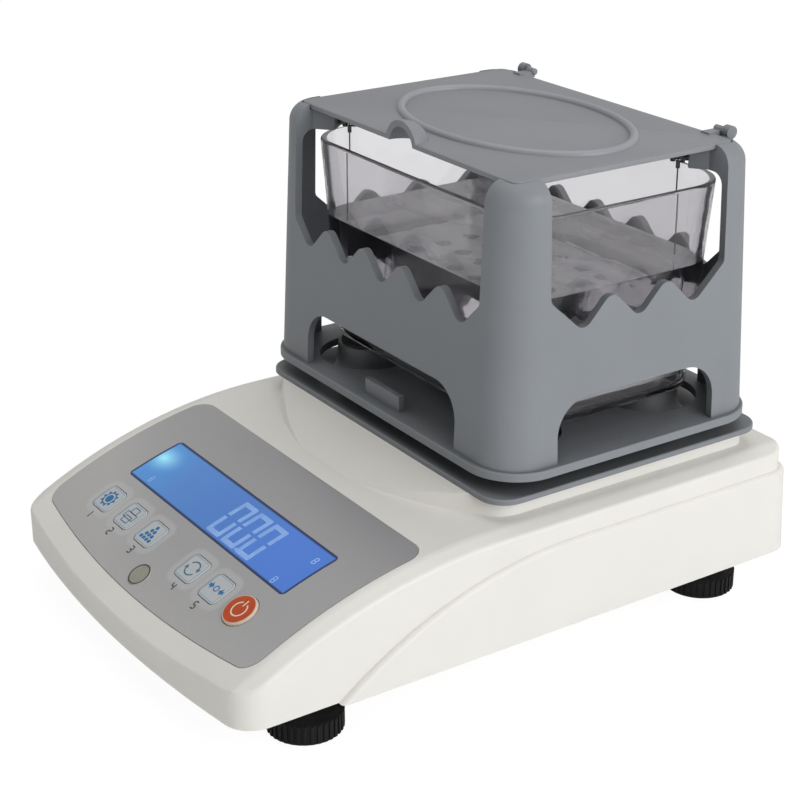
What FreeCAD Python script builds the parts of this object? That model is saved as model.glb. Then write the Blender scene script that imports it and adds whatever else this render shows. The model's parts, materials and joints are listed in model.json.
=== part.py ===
"""Benchtop density meter: a balance base, a hanging cage and a water tank.

Units are millimetres and +Z is up. The front, with the display, is at -Y. Shapes are drawn from a
datum under the back of the control panel, and export moves them so that the origin is the middle
of the footprint on the table. Each sub-part is written to parts/NODE.step.
"""
import FreeCAD
import Part
import math
import os

os.makedirs("parts", exist_ok=True)

# ---------------------------------------------------------------- driving dimensions
# base housing
BASE_Z = 15.0            # underside of the housing above the table
DECK_Z = 60.7            # flat deck round the plateau
WALL = 3.0
UPPER_HALF_W = 92.9      # upright upper wall
UPPER_REAR_Y = 134.7
FRONT_Y = -130.1
FRONT_ARC_R = 545.0      # the front wall is bowed in plan
FRONT_CORNER_R = 12.0
REAR_CORNER_R = 10.0
BEVEL_X = 86.4           # from here outward the top skin tilts down to the side wall
BEVEL_DEG = 19.0
RIDGE_R = 7.0            # rounding where skin and bevel meet
RIM_R = 1.8              # rounding of the top edge of the walls

# proud lower wall: its top runs level from the back and curves down to the front foot
LOWER_HALF_W = 96.1
REAR_Y = 138.0
LOWER_DRAFT = 0.034      # inward lean, mm per mm
STEP_Z = 51.0
STEP_Y = 23.0            # where the top starts to curve down
STEP_R = 175.0
STEP_EDGE_R = 1.8

# convex control panel: an arc in side view that leaves the deck tangentially
PANEL_R = 217.4
PANEL_Y = -10.6

# raised seat of the tank support plate
PLATEAU_Z = 68.1
PLATEAU_HALF_W = 81.0
PLATEAU_REAR_Y = 122.5
PLATEAU_FOOT_Y = -31.5   # middle of the curved foot in front
PLATEAU_SIDE_Y = -2.0    # where the curved front meets the side walls
PLATEAU_CORNER_R = (14.0, 8.0)
PLATEAU_LEAN = (0.08, 0.62)   # inward lean of sides and front, mm per mm
PLATEAU_EDGE_Y = -9.5    # the seat is level up to here and slopes down in front of it
PLATEAU_FALL = 0.39

# cage, tank and lid share one centre
CAGE_Y = 57.5
FLANGE_TOP = 79.5
FLANGE_T = 3.35
FLANGE_HALF = (88.0, 65.9)
FLANGE_R = 21.3
CAGE_H = 108.1
CAGE_FOOT_HALF = (85.75, 63.7)
CAGE_TOP_HALF = (81.44, 59.4)
CAGE_CORNER_R = (17.0, 15.0)
CAGE_WALL = 3.0
CAGE_TOP_R = 8.0
CAGE_TOP_T = 10.6        # solid blocks at the heads of the corner posts
HOLE_R = 21.0            # holes of the cage floor round the tank posts
POST_XY = (50.0, 35.0)

WAVE_PITCH = 26.82
WAVE_VALLEY = 49.9       # sharp corners of the zigzag, above the cage floor
WAVE_PEAK = 63.3
WAVE_R = 4.5
FRONT_WINDOW = 65.2      # half widths
SIDE_WINDOW = 42.2
FRONT_ARCH = (53.6, 24.5)
SIDE_ARCH = (38.7, 24.2)
ARCH_R = 14.0

LID_HALF = (74.0, 52.6)
LID_R = 4.0
LID_T = 2.0
LID_GAP = 0.5
LID_RING_R = (52.0, 54.0)
LID_RING_X = 1.0
HINGE_Y = CAGE_Y + 57.6
HINGE_Z = FLANGE_TOP + 108.7
LUG_X = 61.0
EAR_X = 64.9
HINGE_PIN_R = 1.0

PLATE_HALF = (84.7, 67.6)
PLATE_CENTRE = (1.6, CAGE_Y + 0.6)
PLATE_R = 11.0
PLATE_T = 2.2
TANK_FLOOR_Z = FLANGE_TOP + 6.5
TANK_RIM_Z = FLANGE_TOP + 93.5
TANK_FOOT_HALF = (70.0, 46.0)
TANK_RIM_HALF = (76.0, 51.5)
TANK_CENTRE = (0.8, CAGE_Y + 0.8)
TANK_WALL = 2.6

WIRE_XY = (58.0, 38.4)
WIRE_R = 0.45
HANGER_Z = FLANGE_TOP + 98.6
PAN_Z = FLANGE_TOP + 13.0
PAN_HALF = (62.0, 41.5)

# levelling feet
FOOT_X = 78.6
FOOT_Y = (-89.0, 102.5)
KNOB_R = 14.5
KNOB_H = 8.5
STUD_R = 3.92
STUD_BORE_R = 4.0

# control panel items; S is measured down the arc from the back of the panel
FILM_HALF_W = 84.1
FILM_BACK_Y = -39.5
FILM_FRONT_Y = -121.4
FILM_CORNER_R = 7.5
FILM_LOW = -0.6          # under and upper side of the film against the skin
FILM_HIGH = 0.15
LCD_X = (-61.3, 63.4)
LCD_S = (53.5, 79.7)
KEY_S = 93.4
KEY_SIZE = (12.2, 12.0)
KEYS = {"key_set": -53.4, "key_print": -34.5, "key_enter": -16.1, "key_mode": 18.4, "key_zero": 37.2}
KEY_GAP = 0.3
POWER_XS = (55.8, 93.9)
POWER_R = 7.2
LEVEL_XS = (-0.2, 108.4)
LEVEL_R = 5.3

ORIGIN_Y = (REAR_Y + FRONT_Y) / 2
REACH = 110.0            # half length of cuts that run across the whole housing


# ---------------------------------------------------------------- helpers
def vec(x, y, z):
    return FreeCAD.Vector(x, y, z)


def export(shape, name):
    moved = shape.copy()
    moved.translate(vec(0, -ORIGIN_Y, 0))
    moved.exportStep("parts/" + name + ".step")


def polyline(points):
    return [Part.makeLine(a, b) for a, b in zip(points, points[1:])]


def rounded_rect(half, radius, z, centre=(0.0, CAGE_Y)):
    """Closed wire of a rounded rectangle at height z."""
    hx, hy = half
    cx, cy = centre
    inset = radius * (1 - math.sqrt(0.5))
    arcs = []
    for sx, sy in ((1, -1), (1, 1), (-1, 1), (-1, -1)):
        ends = [vec(cx + sx * hx, cy + sy * (hy - radius), z), vec(cx + sx * (hx - radius), cy + sy * hy, z)]
        middle = vec(cx + sx * (hx - inset), cy + sy * (hy - inset), z)
        if sx * sy < 0:
            ends.reverse()
        arcs.append((ends[0], middle, ends[1]))
    edges = []
    for i, (start, middle, end) in enumerate(arcs):
        edges.append(Part.Arc(start, middle, end).toShape())
        edges.append(Part.makeLine(end, arcs[(i + 1) % 4][0]))
    return Part.Wire(edges)


def slab(half, radius, z0, z1, centre=(0.0, CAGE_Y)):
    return Part.Face(rounded_rect(half, radius, z0, centre)).extrude(vec(0, 0, z1 - z0))


def tapered(half0, r0, z0, half1, r1, z1, centre=(0.0, CAGE_Y)):
    lower = rounded_rect(half0, r0, z0, centre)
    upper = rounded_rect(half1, r1, z1, centre)
    return Part.makeLoft([lower, upper], True, True)


def post(radius, x, y, z0, z1):
    return Part.makeCylinder(radius, z1 - z0, vec(x, y, z0))


def box(x0, x1, y0, y1, z0, z1):
    return Part.makeBox(x1 - x0, y1 - y0, z1 - z0, vec(x0, y0, z0))


def rod(radius, a, b):
    return Part.makeCylinder(radius, (b - a).Length, a, b - a)


def revolve(profile, x, y):
    """Solid of revolution about the vertical line at (x, y) from (radius, z) points."""
    points = [vec(x + r, y, z) for r, z in profile]
    face = Part.Face(Part.makePolygon(points + [points[0]]))
    return face.revolve(vec(x, y, 0), vec(0, 0, 1), 360)


def four(x, y, centre_y=CAGE_Y):
    return [(sx * x, centre_y + sy * y) for sx in (-1, 1) for sy in (-1, 1)]


def rounded_polygon(corners, place):
    """Closed wire through (a, b, radius) corners; place turns (a, b) into a point in space."""
    spans = []
    for i, (a, b, radius) in enumerate(corners):
        here = vec(a, b, 0)
        back = vec(corners[i - 1][0], corners[i - 1][1], 0).sub(here)
        following = corners[(i + 1) % len(corners)]
        ahead = vec(following[0], following[1], 0).sub(here)
        back.normalize()
        ahead.normalize()
        if radius == 0:
            spans.append((here, None, here))
            continue
        half = back.getAngle(ahead) / 2
        reach = radius / math.tan(half)
        middle = back.add(ahead)
        middle.normalize()
        near = radius / math.sin(half) - radius
        spans.append((here.add(back * reach), here.add(middle * near), here.add(ahead * reach)))
    edges = []
    for i, (start, middle, end) in enumerate(spans):
        if middle is not None:
            edges.append(Part.Arc(*[place(p.x, p.y) for p in (start, middle, end)]).toShape())
        following = spans[(i + 1) % len(spans)][0]
        if (following - end).Length > 1e-6:
            edges.append(Part.makeLine(place(end.x, end.y), place(following.x, following.y)))
    return Part.Wire(edges)


def fillet_where(shape, radius, test):
    """Round the edges that pass the test."""
    chosen = [e for e in shape.Edges if test(e)]
    if not chosen:
        raise ValueError("no edge to round")
    return shape.makeFillet(radius, chosen)


def middle_of(edge):
    return edge.valueAt((edge.FirstParameter + edge.LastParameter) / 2)


def upright(edge):
    a, b = edge.Vertexes[0].Point, edge.Vertexes[-1].Point
    return abs(a.x - b.x) < 6 and abs(a.y - b.y) < 6 and abs(a.z - b.z) > 8


def upright_front(edge):
    return upright(edge) and edge.Vertexes[0].Point.y < 0


def upright_rear(edge):
    return upright(edge) and edge.Vertexes[0].Point.y > 0


def wall_rims(shape, above_z):
    """Upper edges of the walls, without the upright ones."""
    rims = []
    for face in shape.Faces:
        u0, u1, v0, v1 = face.ParameterRange
        if abs(face.normalAt((u0 + u1) / 2, (v0 + v1) / 2).z) > 0.15:
            continue
        for edge in face.Edges:
            crossing = edge.BoundBox.ZLength > 8 and max(edge.BoundBox.XLength, edge.BoundBox.YLength) < 6
            if middle_of(edge).z > above_z and not crossing and not any(edge.isSame(e) for e in rims):
                rims.append(edge)
    return rims


# ---------------------------------------------------------------- housing
def plan_outline(half_w, rear, front, z):
    """Plan of the housing: bowed front, straight sides and back."""
    side = front + FRONT_ARC_R - math.sqrt(FRONT_ARC_R ** 2 - half_w ** 2)
    left, right = vec(-half_w, side, z), vec(half_w, side, z)
    arc = Part.Arc(left, vec(0, front, z), right).toShape()
    return Part.Wire([arc] + polyline([right, vec(half_w, rear, z), vec(-half_w, rear, z), left]))


def plan_block(inset, z0, z1):
    """Upright block of the housing's plan, inset on all sides."""
    outline = plan_outline(UPPER_HALF_W - inset, UPPER_REAR_Y - inset, FRONT_Y + inset, z0)
    block = Part.Face(outline).extrude(vec(0, 0, z1 - z0))
    block = block.makeFillet(FRONT_CORNER_R - inset, [e for e in block.Edges if e.BoundBox.ZLength > 1
                             and e.BoundBox.XLength < 1 and middle_of(e).y < 0])
    return block.makeFillet(REAR_CORNER_R - inset, [e for e in block.Edges if e.BoundBox.ZLength > 1
                            and e.BoundBox.XLength < 1 and middle_of(e).y > 100 and abs(middle_of(e).x) > 50])


def panel_z(y, drop=0.0):
    """Height of the top skin at y, or of a surface that lies drop below it."""
    if y > PANEL_Y:
        return DECK_Z - drop
    return DECK_Z - PANEL_R + math.sqrt((PANEL_R - drop) ** 2 - (y - PANEL_Y) ** 2)


def skin_face(x, drop):
    """Side profile of all that lies under the top skin, as a face at x."""
    front, middle, back, floor = -160.0, -85.0, 160.0, -20.0
    start, end = vec(x, PANEL_Y, DECK_Z - drop), vec(x, front, panel_z(front, drop))
    arc = Part.Arc(start, vec(x, middle, panel_z(middle, drop)), end).toShape()
    rest = [end, vec(x, front, floor), vec(x, back, floor), vec(x, back, DECK_Z - drop), start]
    return Part.Face(Part.Wire([arc] + polyline(rest)))


def under_skin(drop):
    """Everything below the top skin with its bevelled sides, lowered by drop."""
    solid = skin_face(-BEVEL_X, drop).extrude(vec(2 * BEVEL_X, 0, 0))
    width = 14.0
    for sx in (-1, 1):
        wing = skin_face(sx * BEVEL_X, drop)
        solid = solid.fuse(wing.extrude(vec(sx * width, 0, -width * math.tan(math.radians(BEVEL_DEG)))))
    return solid


def upper_body():
    body = plan_block(0, BASE_Z, DECK_Z + 10).common(under_skin(0)).removeSplitter()

    def ridge(edge):
        ends = [v.Point for v in edge.Vertexes]
        return all(abs(abs(p.x) - BEVEL_X) < 0.01 for p in ends) and all(p.z > BASE_Z + 1 for p in ends)
    body = fillet_where(body, RIDGE_R, ridge)
    return body.makeFillet(RIM_R, wall_rims(body, BASE_Z + 3))


def step_face(drop):
    """Side profile of all that lies under the top of the proud lower wall."""
    x, back, floor = -REACH, 150.0, 5.0
    top = STEP_Z - drop

    def arc_point(y):
        return vec(x, y, top - STEP_R + math.sqrt(STEP_R ** 2 - (y - STEP_Y) ** 2))
    start, end = vec(x, STEP_Y, top), arc_point(-98.0)
    arc = Part.Arc(start, arc_point(-40.0), end).toShape()
    rest = [end, vec(x, end.y, floor), vec(x, back, floor), vec(x, back, top), start]
    return Part.Face(Part.Wire([arc] + polyline(rest)))


def lower_body():
    front_y, height = -110.0, 45.0
    half = (LOWER_HALF_W, (REAR_Y - front_y) / 2)
    centre = (0.0, (REAR_Y + front_y) / 2)
    lean = LOWER_DRAFT * height
    block = tapered(half, REAR_CORNER_R + 1, BASE_Z, [h - lean for h in half], REAR_CORNER_R + 1,
                    BASE_Z + height, centre)
    body = block.common(step_face(0).extrude(vec(2 * REACH, 0, 0)))
    return body.makeFillet(STEP_EDGE_R, wall_rims(body, BASE_Z + 3))


def plateau_outline(z):
    """Plan of the raised seat at height z: curved front, straight sides and back."""
    rise = z - DECK_Z
    half_w = PLATEAU_HALF_W - PLATEAU_LEAN[0] * rise
    front = PLATEAU_FOOT_Y + PLATEAU_LEAN[1] * rise
    rear = PLATEAU_REAR_Y - PLATEAU_LEAN[0] * rise
    left, right = vec(-half_w, PLATEAU_SIDE_Y, z), vec(half_w, PLATEAU_SIDE_Y, z)
    arc = Part.Arc(left, vec(0, front, z), right).toShape()
    return Part.Wire([arc] + polyline([right, vec(half_w, rear, z), vec(-half_w, rear, z), left]))


def plateau():
    """Raised seat of the tank: level under the plate, sloping down to a curved foot in front."""
    body = Part.makeLoft([plateau_outline(DECK_Z - 6), plateau_outline(PLATEAU_Z + 2)], True, True)
    for radius, test in zip(PLATEAU_CORNER_R, (upright_front, upright_rear)):
        body = fillet_where(body, radius, test)
    front_y = -60.0
    profile = [vec(-REACH, PLATEAU_EDGE_Y, PLATEAU_Z), vec(-REACH, 150, PLATEAU_Z), vec(-REACH, 150, 30),
               vec(-REACH, front_y, 30),
               vec(-REACH, front_y, PLATEAU_Z + PLATEAU_FALL * (front_y - PLATEAU_EDGE_Y))]
    limit = Part.Face(Part.makePolygon(profile + [profile[0]])).extrude(vec(2 * REACH, 0, 0))
    return body.common(limit)


SCREW_XY = [(-82.0, -60.0), (82.0, -60.0), (-82.0, 40.0), (82.0, 40.0), (-30.0, 122.0), (30.0, 122.0)]
TRAY_T = 2.5
JACK_X, JACK_Z = -58.0, 34.0
PORT_X, PORT_Z = 48.0, 34.0
CARRIER_HOLE_R = 9.0
INNER_REAR_Y = UPPER_REAR_Y - WALL


def on_panel(shape, s):
    """Seat a shape drawn about the origin (x, up the slope, outward) at arc length s."""
    angle = s / PANEL_R
    place = vec(0, PANEL_Y - PANEL_R * math.sin(angle), DECK_Z - PANEL_R * (1 - math.cos(angle)))
    moved = shape.copy()
    turn = FreeCAD.Rotation(vec(1, 0, 0), math.degrees(angle))
    moved.Placement = FreeCAD.Placement(place, turn).multiply(moved.Placement)
    return moved


def panel_layer(low, high):
    """Part of the skin between two depths, over the whole arc of the panel."""
    axis = vec(-REACH, PANEL_Y, DECK_Z - PANEL_R)
    outer = Part.makeCylinder(PANEL_R + high, 2 * REACH, axis, vec(1, 0, 0))
    return outer.cut(Part.makeCylinder(PANEL_R + low, 2 * REACH, axis, vec(1, 0, 0)))


def film_block(grow):
    """Upright block of the film's plan: straight back and sides, bowed front."""
    z0, z1 = 10.0, 80.0
    half_w = FILM_HALF_W + grow
    front, back = FILM_FRONT_Y - grow, FILM_BACK_Y + grow
    side = front + FRONT_ARC_R - math.sqrt(FRONT_ARC_R ** 2 - half_w ** 2)
    left, right = vec(-half_w, side, z0), vec(half_w, side, z0)
    arc = Part.Arc(left, vec(0, front, z0), right).toShape()
    outline = Part.Wire([arc] + polyline([right, vec(half_w, back, z0), vec(-half_w, back, z0), left]))
    return fillet_where(Part.Face(outline).extrude(vec(0, 0, z1 - z0)), FILM_CORNER_R + grow, upright)


def key_block(x, grow, low, high):
    half = (KEY_SIZE[0] / 2 + grow, KEY_SIZE[1] / 2 + grow)
    return on_panel(slab(half, 2.4 + grow, low, high, (x, 0.0)), KEY_S)


def lcd_block(grow, low, high):
    half = ((LCD_X[1] - LCD_X[0]) / 2 + grow, (LCD_S[1] - LCD_S[0]) / 2 + grow)
    block = slab(half, max(2.2 + grow, 0.8), low, high, ((LCD_X[0] + LCD_X[1]) / 2, 0.0))
    return on_panel(block, (LCD_S[0] + LCD_S[1]) / 2)


def base_cover():
    body = upper_body().fuse(lower_body()).fuse(plateau())
    room = plan_block(WALL, BASE_Z - 1, DECK_Z).common(under_skin(WALL))
    seat = slab((77.0, 59.0), 8.0, DECK_Z - 8, PLATEAU_Z - WALL)
    body = body.cut(room.fuse(seat))
    for x, y in SCREW_XY:
        boss_top = panel_z(y) - WALL + 1
        body = body.fuse(post(4.0, x, y, BASE_Z + TRAY_T, boss_top))
        body = body.cut(post(1.5, x, y, 0, BASE_Z + TRAY_T + 14))
    body = body.cut(film_block(0.25).common(panel_layer(FILM_LOW, 20)))
    body = body.cut(lcd_block(-3.0, -8, 4))
    for x in KEYS.values():
        body = body.cut(key_block(x, 0.4, -1.8, 4))
        body = body.cut(on_panel(post(3.2, x, 0, -8, 4), KEY_S))
    body = body.cut(on_panel(post(POWER_R + 0.4, POWER_XS[0], 0, -2.0, 4), POWER_XS[1]))
    body = body.cut(on_panel(post(3.2, POWER_XS[0], 0, -8, 4), POWER_XS[1]))
    body = body.cut(on_panel(post(LEVEL_R + 1.2, LEVEL_XS[0], 0, -8, 4), LEVEL_XS[1]))
    body = body.cut(post(CARRIER_HOLE_R, 0, CAGE_Y, 50, 80))
    body = body.cut(rod(5.6, vec(JACK_X, INNER_REAR_Y - 5, JACK_Z), vec(JACK_X, REAR_Y + 5, JACK_Z)))
    port = box(PORT_X - 15.8, PORT_X + 15.8, INNER_REAR_Y - 5, REAR_Y + 5, PORT_Z - 6.4, PORT_Z + 6.4)
    body = body.cut(port)
    return body.removeSplitter()


def base_tray():
    plate = plan_block(WALL + 0.3, BASE_Z, BASE_Z + TRAY_T)
    rib_top = BASE_Z + TRAY_T + 3
    for y in (-60.0, -20.0, 20.0, 100.0):
        plate = plate.fuse(box(-70, 70, y - 1, y + 1, BASE_Z + 1, rib_top))
    for x in (-66.0, 66.0):
        plate = plate.fuse(box(x - 1, x + 1, -100, 118, BASE_Z + 1, rib_top))
    for x, y in [(s * FOOT_X, y) for s in (-1, 1) for y in FOOT_Y]:
        plate = plate.fuse(post(8.0, x, y, BASE_Z + 1, BASE_Z + 16))
        plate = plate.cut(post(5.6, x, y, 0, 60))
    for x, y in SCREW_XY:
        plate = plate.cut(post(1.9, x, y, 0, 30)).cut(post(3.4, x, y, 0, BASE_Z + 1.2))
    return plate.removeSplitter()


def foot_inserts():
    inserts = []
    for x, y in [(s * FOOT_X, y) for s in (-1, 1) for y in FOOT_Y]:
        sleeve = post(5.6, x, y, BASE_Z + 0.2, BASE_Z + 16).cut(post(STUD_BORE_R, x, y, 0, 60))
        inserts.append(sleeve)
    return Part.makeCompound(inserts)


def case_screws():
    screws = []
    for x, y in SCREW_XY:
        head = post(3.2, x, y, BASE_Z - 0.6, BASE_Z + 1.2)
        shank = post(1.5, x, y, BASE_Z + 1.2, BASE_Z + 14)
        socket = box(x - 2.2, x + 2.2, y - 0.4, y + 0.4, BASE_Z - 1, BASE_Z + 0.2)
        cross = box(x - 0.4, x + 0.4, y - 2.2, y + 2.2, BASE_Z - 1, BASE_Z + 0.2)
        screws.append(head.fuse(shank).cut(socket).cut(cross))
    return Part.makeCompound(screws)


# ---------------------------------------------------------------- control panel
def panel_overlay():
    film = film_block(0).common(panel_layer(FILM_LOW, FILM_HIGH))
    film = film.cut(lcd_block(0, -4, 4))
    for x in KEYS.values():
        film = film.cut(key_block(x, KEY_GAP, -3, 3))
    film = film.cut(on_panel(post(POWER_R + KEY_GAP, POWER_XS[0], 0, -3, 3), POWER_XS[1]))
    return film.cut(on_panel(post(LEVEL_R, LEVEL_XS[0], 0, -3, 3), LEVEL_XS[1]))


def membrane_key(x):
    cap = slab([h / 2 for h in KEY_SIZE], 2.4, -0.75, 0.35, (x, 0.0))
    cap = fillet_where(cap, 0.35, lambda e: e.BoundBox.ZMin > 0.3)
    return on_panel(cap.fuse(post(2.6, x, 0, -6.4, -0.6)), KEY_S)


def power_key():
    x, s = POWER_XS
    cap = fillet_where(post(POWER_R, x, 0, -0.9, 1.1), 0.8, lambda e: e.BoundBox.ZMin > 1.0)
    return on_panel(cap.fuse(post(2.6, x, 0, -6.4, -0.8)), s)


BOARD_DEPTH = -10.6      # face of the key board under the panel


def key_board():
    board = slab((68.0, 10.0), 2.0, BOARD_DEPTH - 1.6, BOARD_DEPTH, (0.0, 0.0))
    hole = post(LEVEL_R + 2, LEVEL_XS[0], KEY_S - LEVEL_XS[1], BOARD_DEPTH - 5, 0)
    return on_panel(board.cut(hole), KEY_S)


def key_switches():
    switches = []
    for x, v in [(x, 0.0) for x in KEYS.values()] + [(POWER_XS[0], KEY_S - POWER_XS[1])]:
        case = box(x - 3.1, x + 3.1, v - 3.1, v + 3.1, BOARD_DEPTH, BOARD_DEPTH + 2.8)
        switches.append(on_panel(case.fuse(post(1.7, x, v, BOARD_DEPTH + 2.8, BOARD_DEPTH + 3.5)), KEY_S))
    return Part.makeCompound(switches)


def display_window():
    return lcd_block(-0.05, -4, 4).common(panel_layer(FILM_LOW, FILM_HIGH - 0.05))


def lcd_module():
    return lcd_block(2.0, -9.5, -3.8).fuse(lcd_block(-3.2, -3.8, -1.2))


def bubble_level():
    x, s = LEVEL_XS
    cup = post(LEVEL_R + 1.1, x, 0, -8.0, -0.75).cut(post(LEVEL_R - 0.9, x, 0, -6.5, 4))
    return on_panel(cup, s)


def level_lens():
    x, s = LEVEL_XS
    lens = fillet_where(post(LEVEL_R - 0.05, x, 0, -0.75, 0.35), 0.3, lambda e: e.BoundBox.ZMin > 0.3)
    return on_panel(lens.fuse(post(LEVEL_R - 1.0, x, 0, -3.2, -0.7)), s)


# ---------------------------------------------------------------- inside the base
BOARD_Z = BASE_Z + TRAY_T + 5


def main_board():
    board = box(-52, 52, -52, 12, BOARD_Z, BOARD_Z + 1.6)
    for x, y in [(sx * 47.0, y) for sx in (-1, 1) for y in (-47.0, 7.0)]:
        board = board.cut(post(1.6, x, y, 0, 60))
    return board


def board_parts():
    chip = box(-8, 8, -28, -12, BOARD_Z + 1.6, BOARD_Z + 3.4)
    shield = box(18, 42, -40, -16, BOARD_Z + 1.6, BOARD_Z + 7)
    header = box(-44, -18, -46, -41, BOARD_Z + 1.6, BOARD_Z + 9)
    caps = [post(3.0, -30 + 8 * i, 0, BOARD_Z + 1.6, BOARD_Z + 10) for i in range(3)]
    return Part.makeCompound([chip, shield, header] + caps)


def board_standoffs():
    spacers = []
    for x, y in [(sx * 47.0, y) for sx in (-1, 1) for y in (-47.0, 7.0)]:
        spacer = post(3.0, x, y, BASE_Z + TRAY_T, BOARD_Z)
        spacers.append(spacer.fuse(post(1.5, x, y, BOARD_Z, BOARD_Z + 1.6)).fuse(
            post(2.8, x, y, BOARD_Z + 1.6, BOARD_Z + 3.4)))
    return Part.makeCompound(spacers)


CELL_Z = 30.0
CELL_HALF = (55.0, 10.0)
CELL_H = 20.0


def load_cell():
    """Single-point cell: a bar weakened by four thin bridges round a two-lobed window."""
    bar = box(-CELL_HALF[0], CELL_HALF[0], CAGE_Y - 10, CAGE_Y + 10, CELL_Z, CELL_Z + CELL_H)
    lobes = []
    for x in (-13.0, 13.0):
        for z in (CELL_Z + 6.0, CELL_Z + 14.0):
            lobes.append(rod(4.6, vec(x, CAGE_Y - 20, z), vec(x, CAGE_Y + 20, z)))
    window = box(-13, 13, CAGE_Y - 20, CAGE_Y + 20, CELL_Z + 6, CELL_Z + 14)
    for lobe in lobes:
        window = window.fuse(lobe)
    return bar.cut(window)


def cell_mount():
    return box(-56, -26, CAGE_Y - 12, CAGE_Y + 12, BASE_Z + TRAY_T, CELL_Z)


def cell_screws():
    screws = []
    for x in (-48.0, -35.0):
        head = post(4.2, x, CAGE_Y, CELL_Z + CELL_H, CELL_Z + CELL_H + 4)
        socket = post(1.8, x, CAGE_Y, CELL_Z + CELL_H + 1.8, CELL_Z + CELL_H + 5)
        screws.append(head.cut(socket))
    return Part.makeCompound(screws)


def battery_pack():
    """Six round cells side by side under one sleeve."""
    cells = None
    for i in range(6):
        x = 14.0 + i * 8.4
        cell = rod(4.9, vec(x, 84, BASE_Z + TRAY_T + 8.4), vec(x, 116, BASE_Z + TRAY_T + 8.4))
        cells = cell if cells is None else cells.fuse(cell)
    return cells.fuse(box(14, 56, 84, 116, BASE_Z + TRAY_T + 3.5, BASE_Z + TRAY_T + 13.3)).removeSplitter()


def dc_jack():
    wall = INNER_REAR_Y
    body = rod(5.5, vec(JACK_X, wall - 16, JACK_Z), vec(JACK_X, wall + 3, JACK_Z))
    flange = rod(7.5, vec(JACK_X, wall - 3.2, JACK_Z), vec(JACK_X, wall - 0.3, JACK_Z))
    barrel = rod(3.1, vec(JACK_X, wall - 10, JACK_Z), vec(JACK_X, wall + 12, JACK_Z))
    pin = rod(1.0, vec(JACK_X, wall - 11, JACK_Z), vec(JACK_X, wall + 1, JACK_Z))
    return body.fuse(flange).cut(barrel).fuse(pin)


def data_port():
    """Nine-way D connector in the rear wall."""
    def dee(half_top, half_low, half_h, y0, y1):
        corners = [(-half_top, half_h, 1.2), (half_top, half_h, 1.2), (half_low, -half_h, 1.2),
                   (-half_low, -half_h, 1.2)]
        wire = rounded_polygon(corners, lambda a, b: vec(PORT_X + a, y0, PORT_Z + b))
        return Part.Face(wire).extrude(vec(0, y1 - y0, 0))
    seat = INNER_REAR_Y + 0.7
    shell = dee(9.3, 8.0, 4.6, seat - 6, seat + 4).cut(dee(8.4, 7.1, 3.8, seat - 2, seat + 12))
    flange = box(PORT_X - 15.5, PORT_X + 15.5, seat, seat + 1, PORT_Z - 6.2, PORT_Z + 6.2).cut(
        dee(9.2, 7.9, 4.5, seat - 8, seat + 12))
    body = shell.fuse(flange)
    for row, count in ((1.4, 5), (-1.4, 4)):
        for i in range(count):
            x = PORT_X + (i - (count - 1) / 2) * 2.77
            body = body.fuse(rod(0.5, vec(x, seat - 3, PORT_Z + row), vec(x, seat + 2.5, PORT_Z + row)))
    for sx in (-1, 1):
        x = PORT_X + sx * 12.4
        body = body.fuse(rod(2.4, vec(x, seat, PORT_Z), vec(x, seat + 4.6, PORT_Z)))
    return body


# ---------------------------------------------------------------- tank and its support
POST_TOP = TANK_FLOOR_Z - 1.0


def tank_support_plate():
    top = PLATEAU_Z + PLATE_T
    plate = slab(PLATE_HALF, PLATE_R, PLATEAU_Z, top, PLATE_CENTRE)
    plate = plate.makeFillet(0.7, [e for e in plate.Edges if e.BoundBox.ZMin > top - 0.01])
    for x, y in four(*POST_XY):
        flare = [vec(x + 19.0, y, top - 0.5), vec(x + 15.2, y, top + 2.6), vec(x + 13.6, y, top + 7.0)]
        curve = Part.Arc(*flare).toShape()
        lines = [flare[2], vec(x + 13.0, y, POST_TOP), vec(x, y, POST_TOP), vec(x, y, top - 0.5), flare[0]]
        wire = Part.Wire([curve] + polyline(lines))
        plate = plate.fuse(Part.Face(wire).revolve(vec(x, y, 0), vec(0, 0, 1), 360))
    plate = plate.cut(post(CARRIER_HOLE_R, 0, CAGE_Y, 0, 100))
    return plate.removeSplitter()


def post_pads():
    return Part.makeCompound([post(11.5, x, y, POST_TOP, TANK_FLOOR_Z) for x, y in four(*POST_XY)])


def water_tank():
    foot = TANK_FOOT_HALF
    rim = TANK_RIM_HALF
    outer = tapered(foot, 17.0, TANK_FLOOR_Z, rim, 19.5, TANK_RIM_Z, TANK_CENTRE)
    outer = outer.makeFillet(4.0, [e for e in outer.Edges if e.BoundBox.ZMax < TANK_FLOOR_Z + 0.1])
    rise = TANK_RIM_Z - TANK_FLOOR_Z
    lean = [(b - a) / rise for a, b in zip(foot, rim)]
    low = [h + s * TANK_WALL - TANK_WALL for h, s in zip(foot, lean)]
    high = [h + s * 2 - TANK_WALL for h, s in zip(rim, lean)]
    inner = tapered(low, 14.5, TANK_FLOOR_Z + TANK_WALL, high, 17.0, TANK_RIM_Z + 2, TANK_CENTRE)
    floor_z = TANK_FLOOR_Z + TANK_WALL
    inner = inner.makeFillet(2.5, [e for e in inner.Edges if e.BoundBox.ZMax < floor_z + 0.1])
    shell = outer.cut(inner)
    return shell.makeFillet(0.8, [e for e in shell.Edges if e.BoundBox.ZMin > TANK_RIM_Z - 0.1])


# ---------------------------------------------------------------- cage
def side_cut(corners, through, across_x):
    """Cut of the given outline through both opposite walls; through is its half length."""
    if across_x:
        wire = rounded_polygon(corners, lambda a, b: vec(-through, CAGE_Y + a, FLANGE_TOP + b))
        return Part.Face(wire).extrude(vec(2 * through, 0, 0))
    wire = rounded_polygon(corners, lambda a, b: vec(a, CAGE_Y - through, FLANGE_TOP + b))
    return Part.Face(wire).extrude(vec(0, 2 * through, 0))


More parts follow.
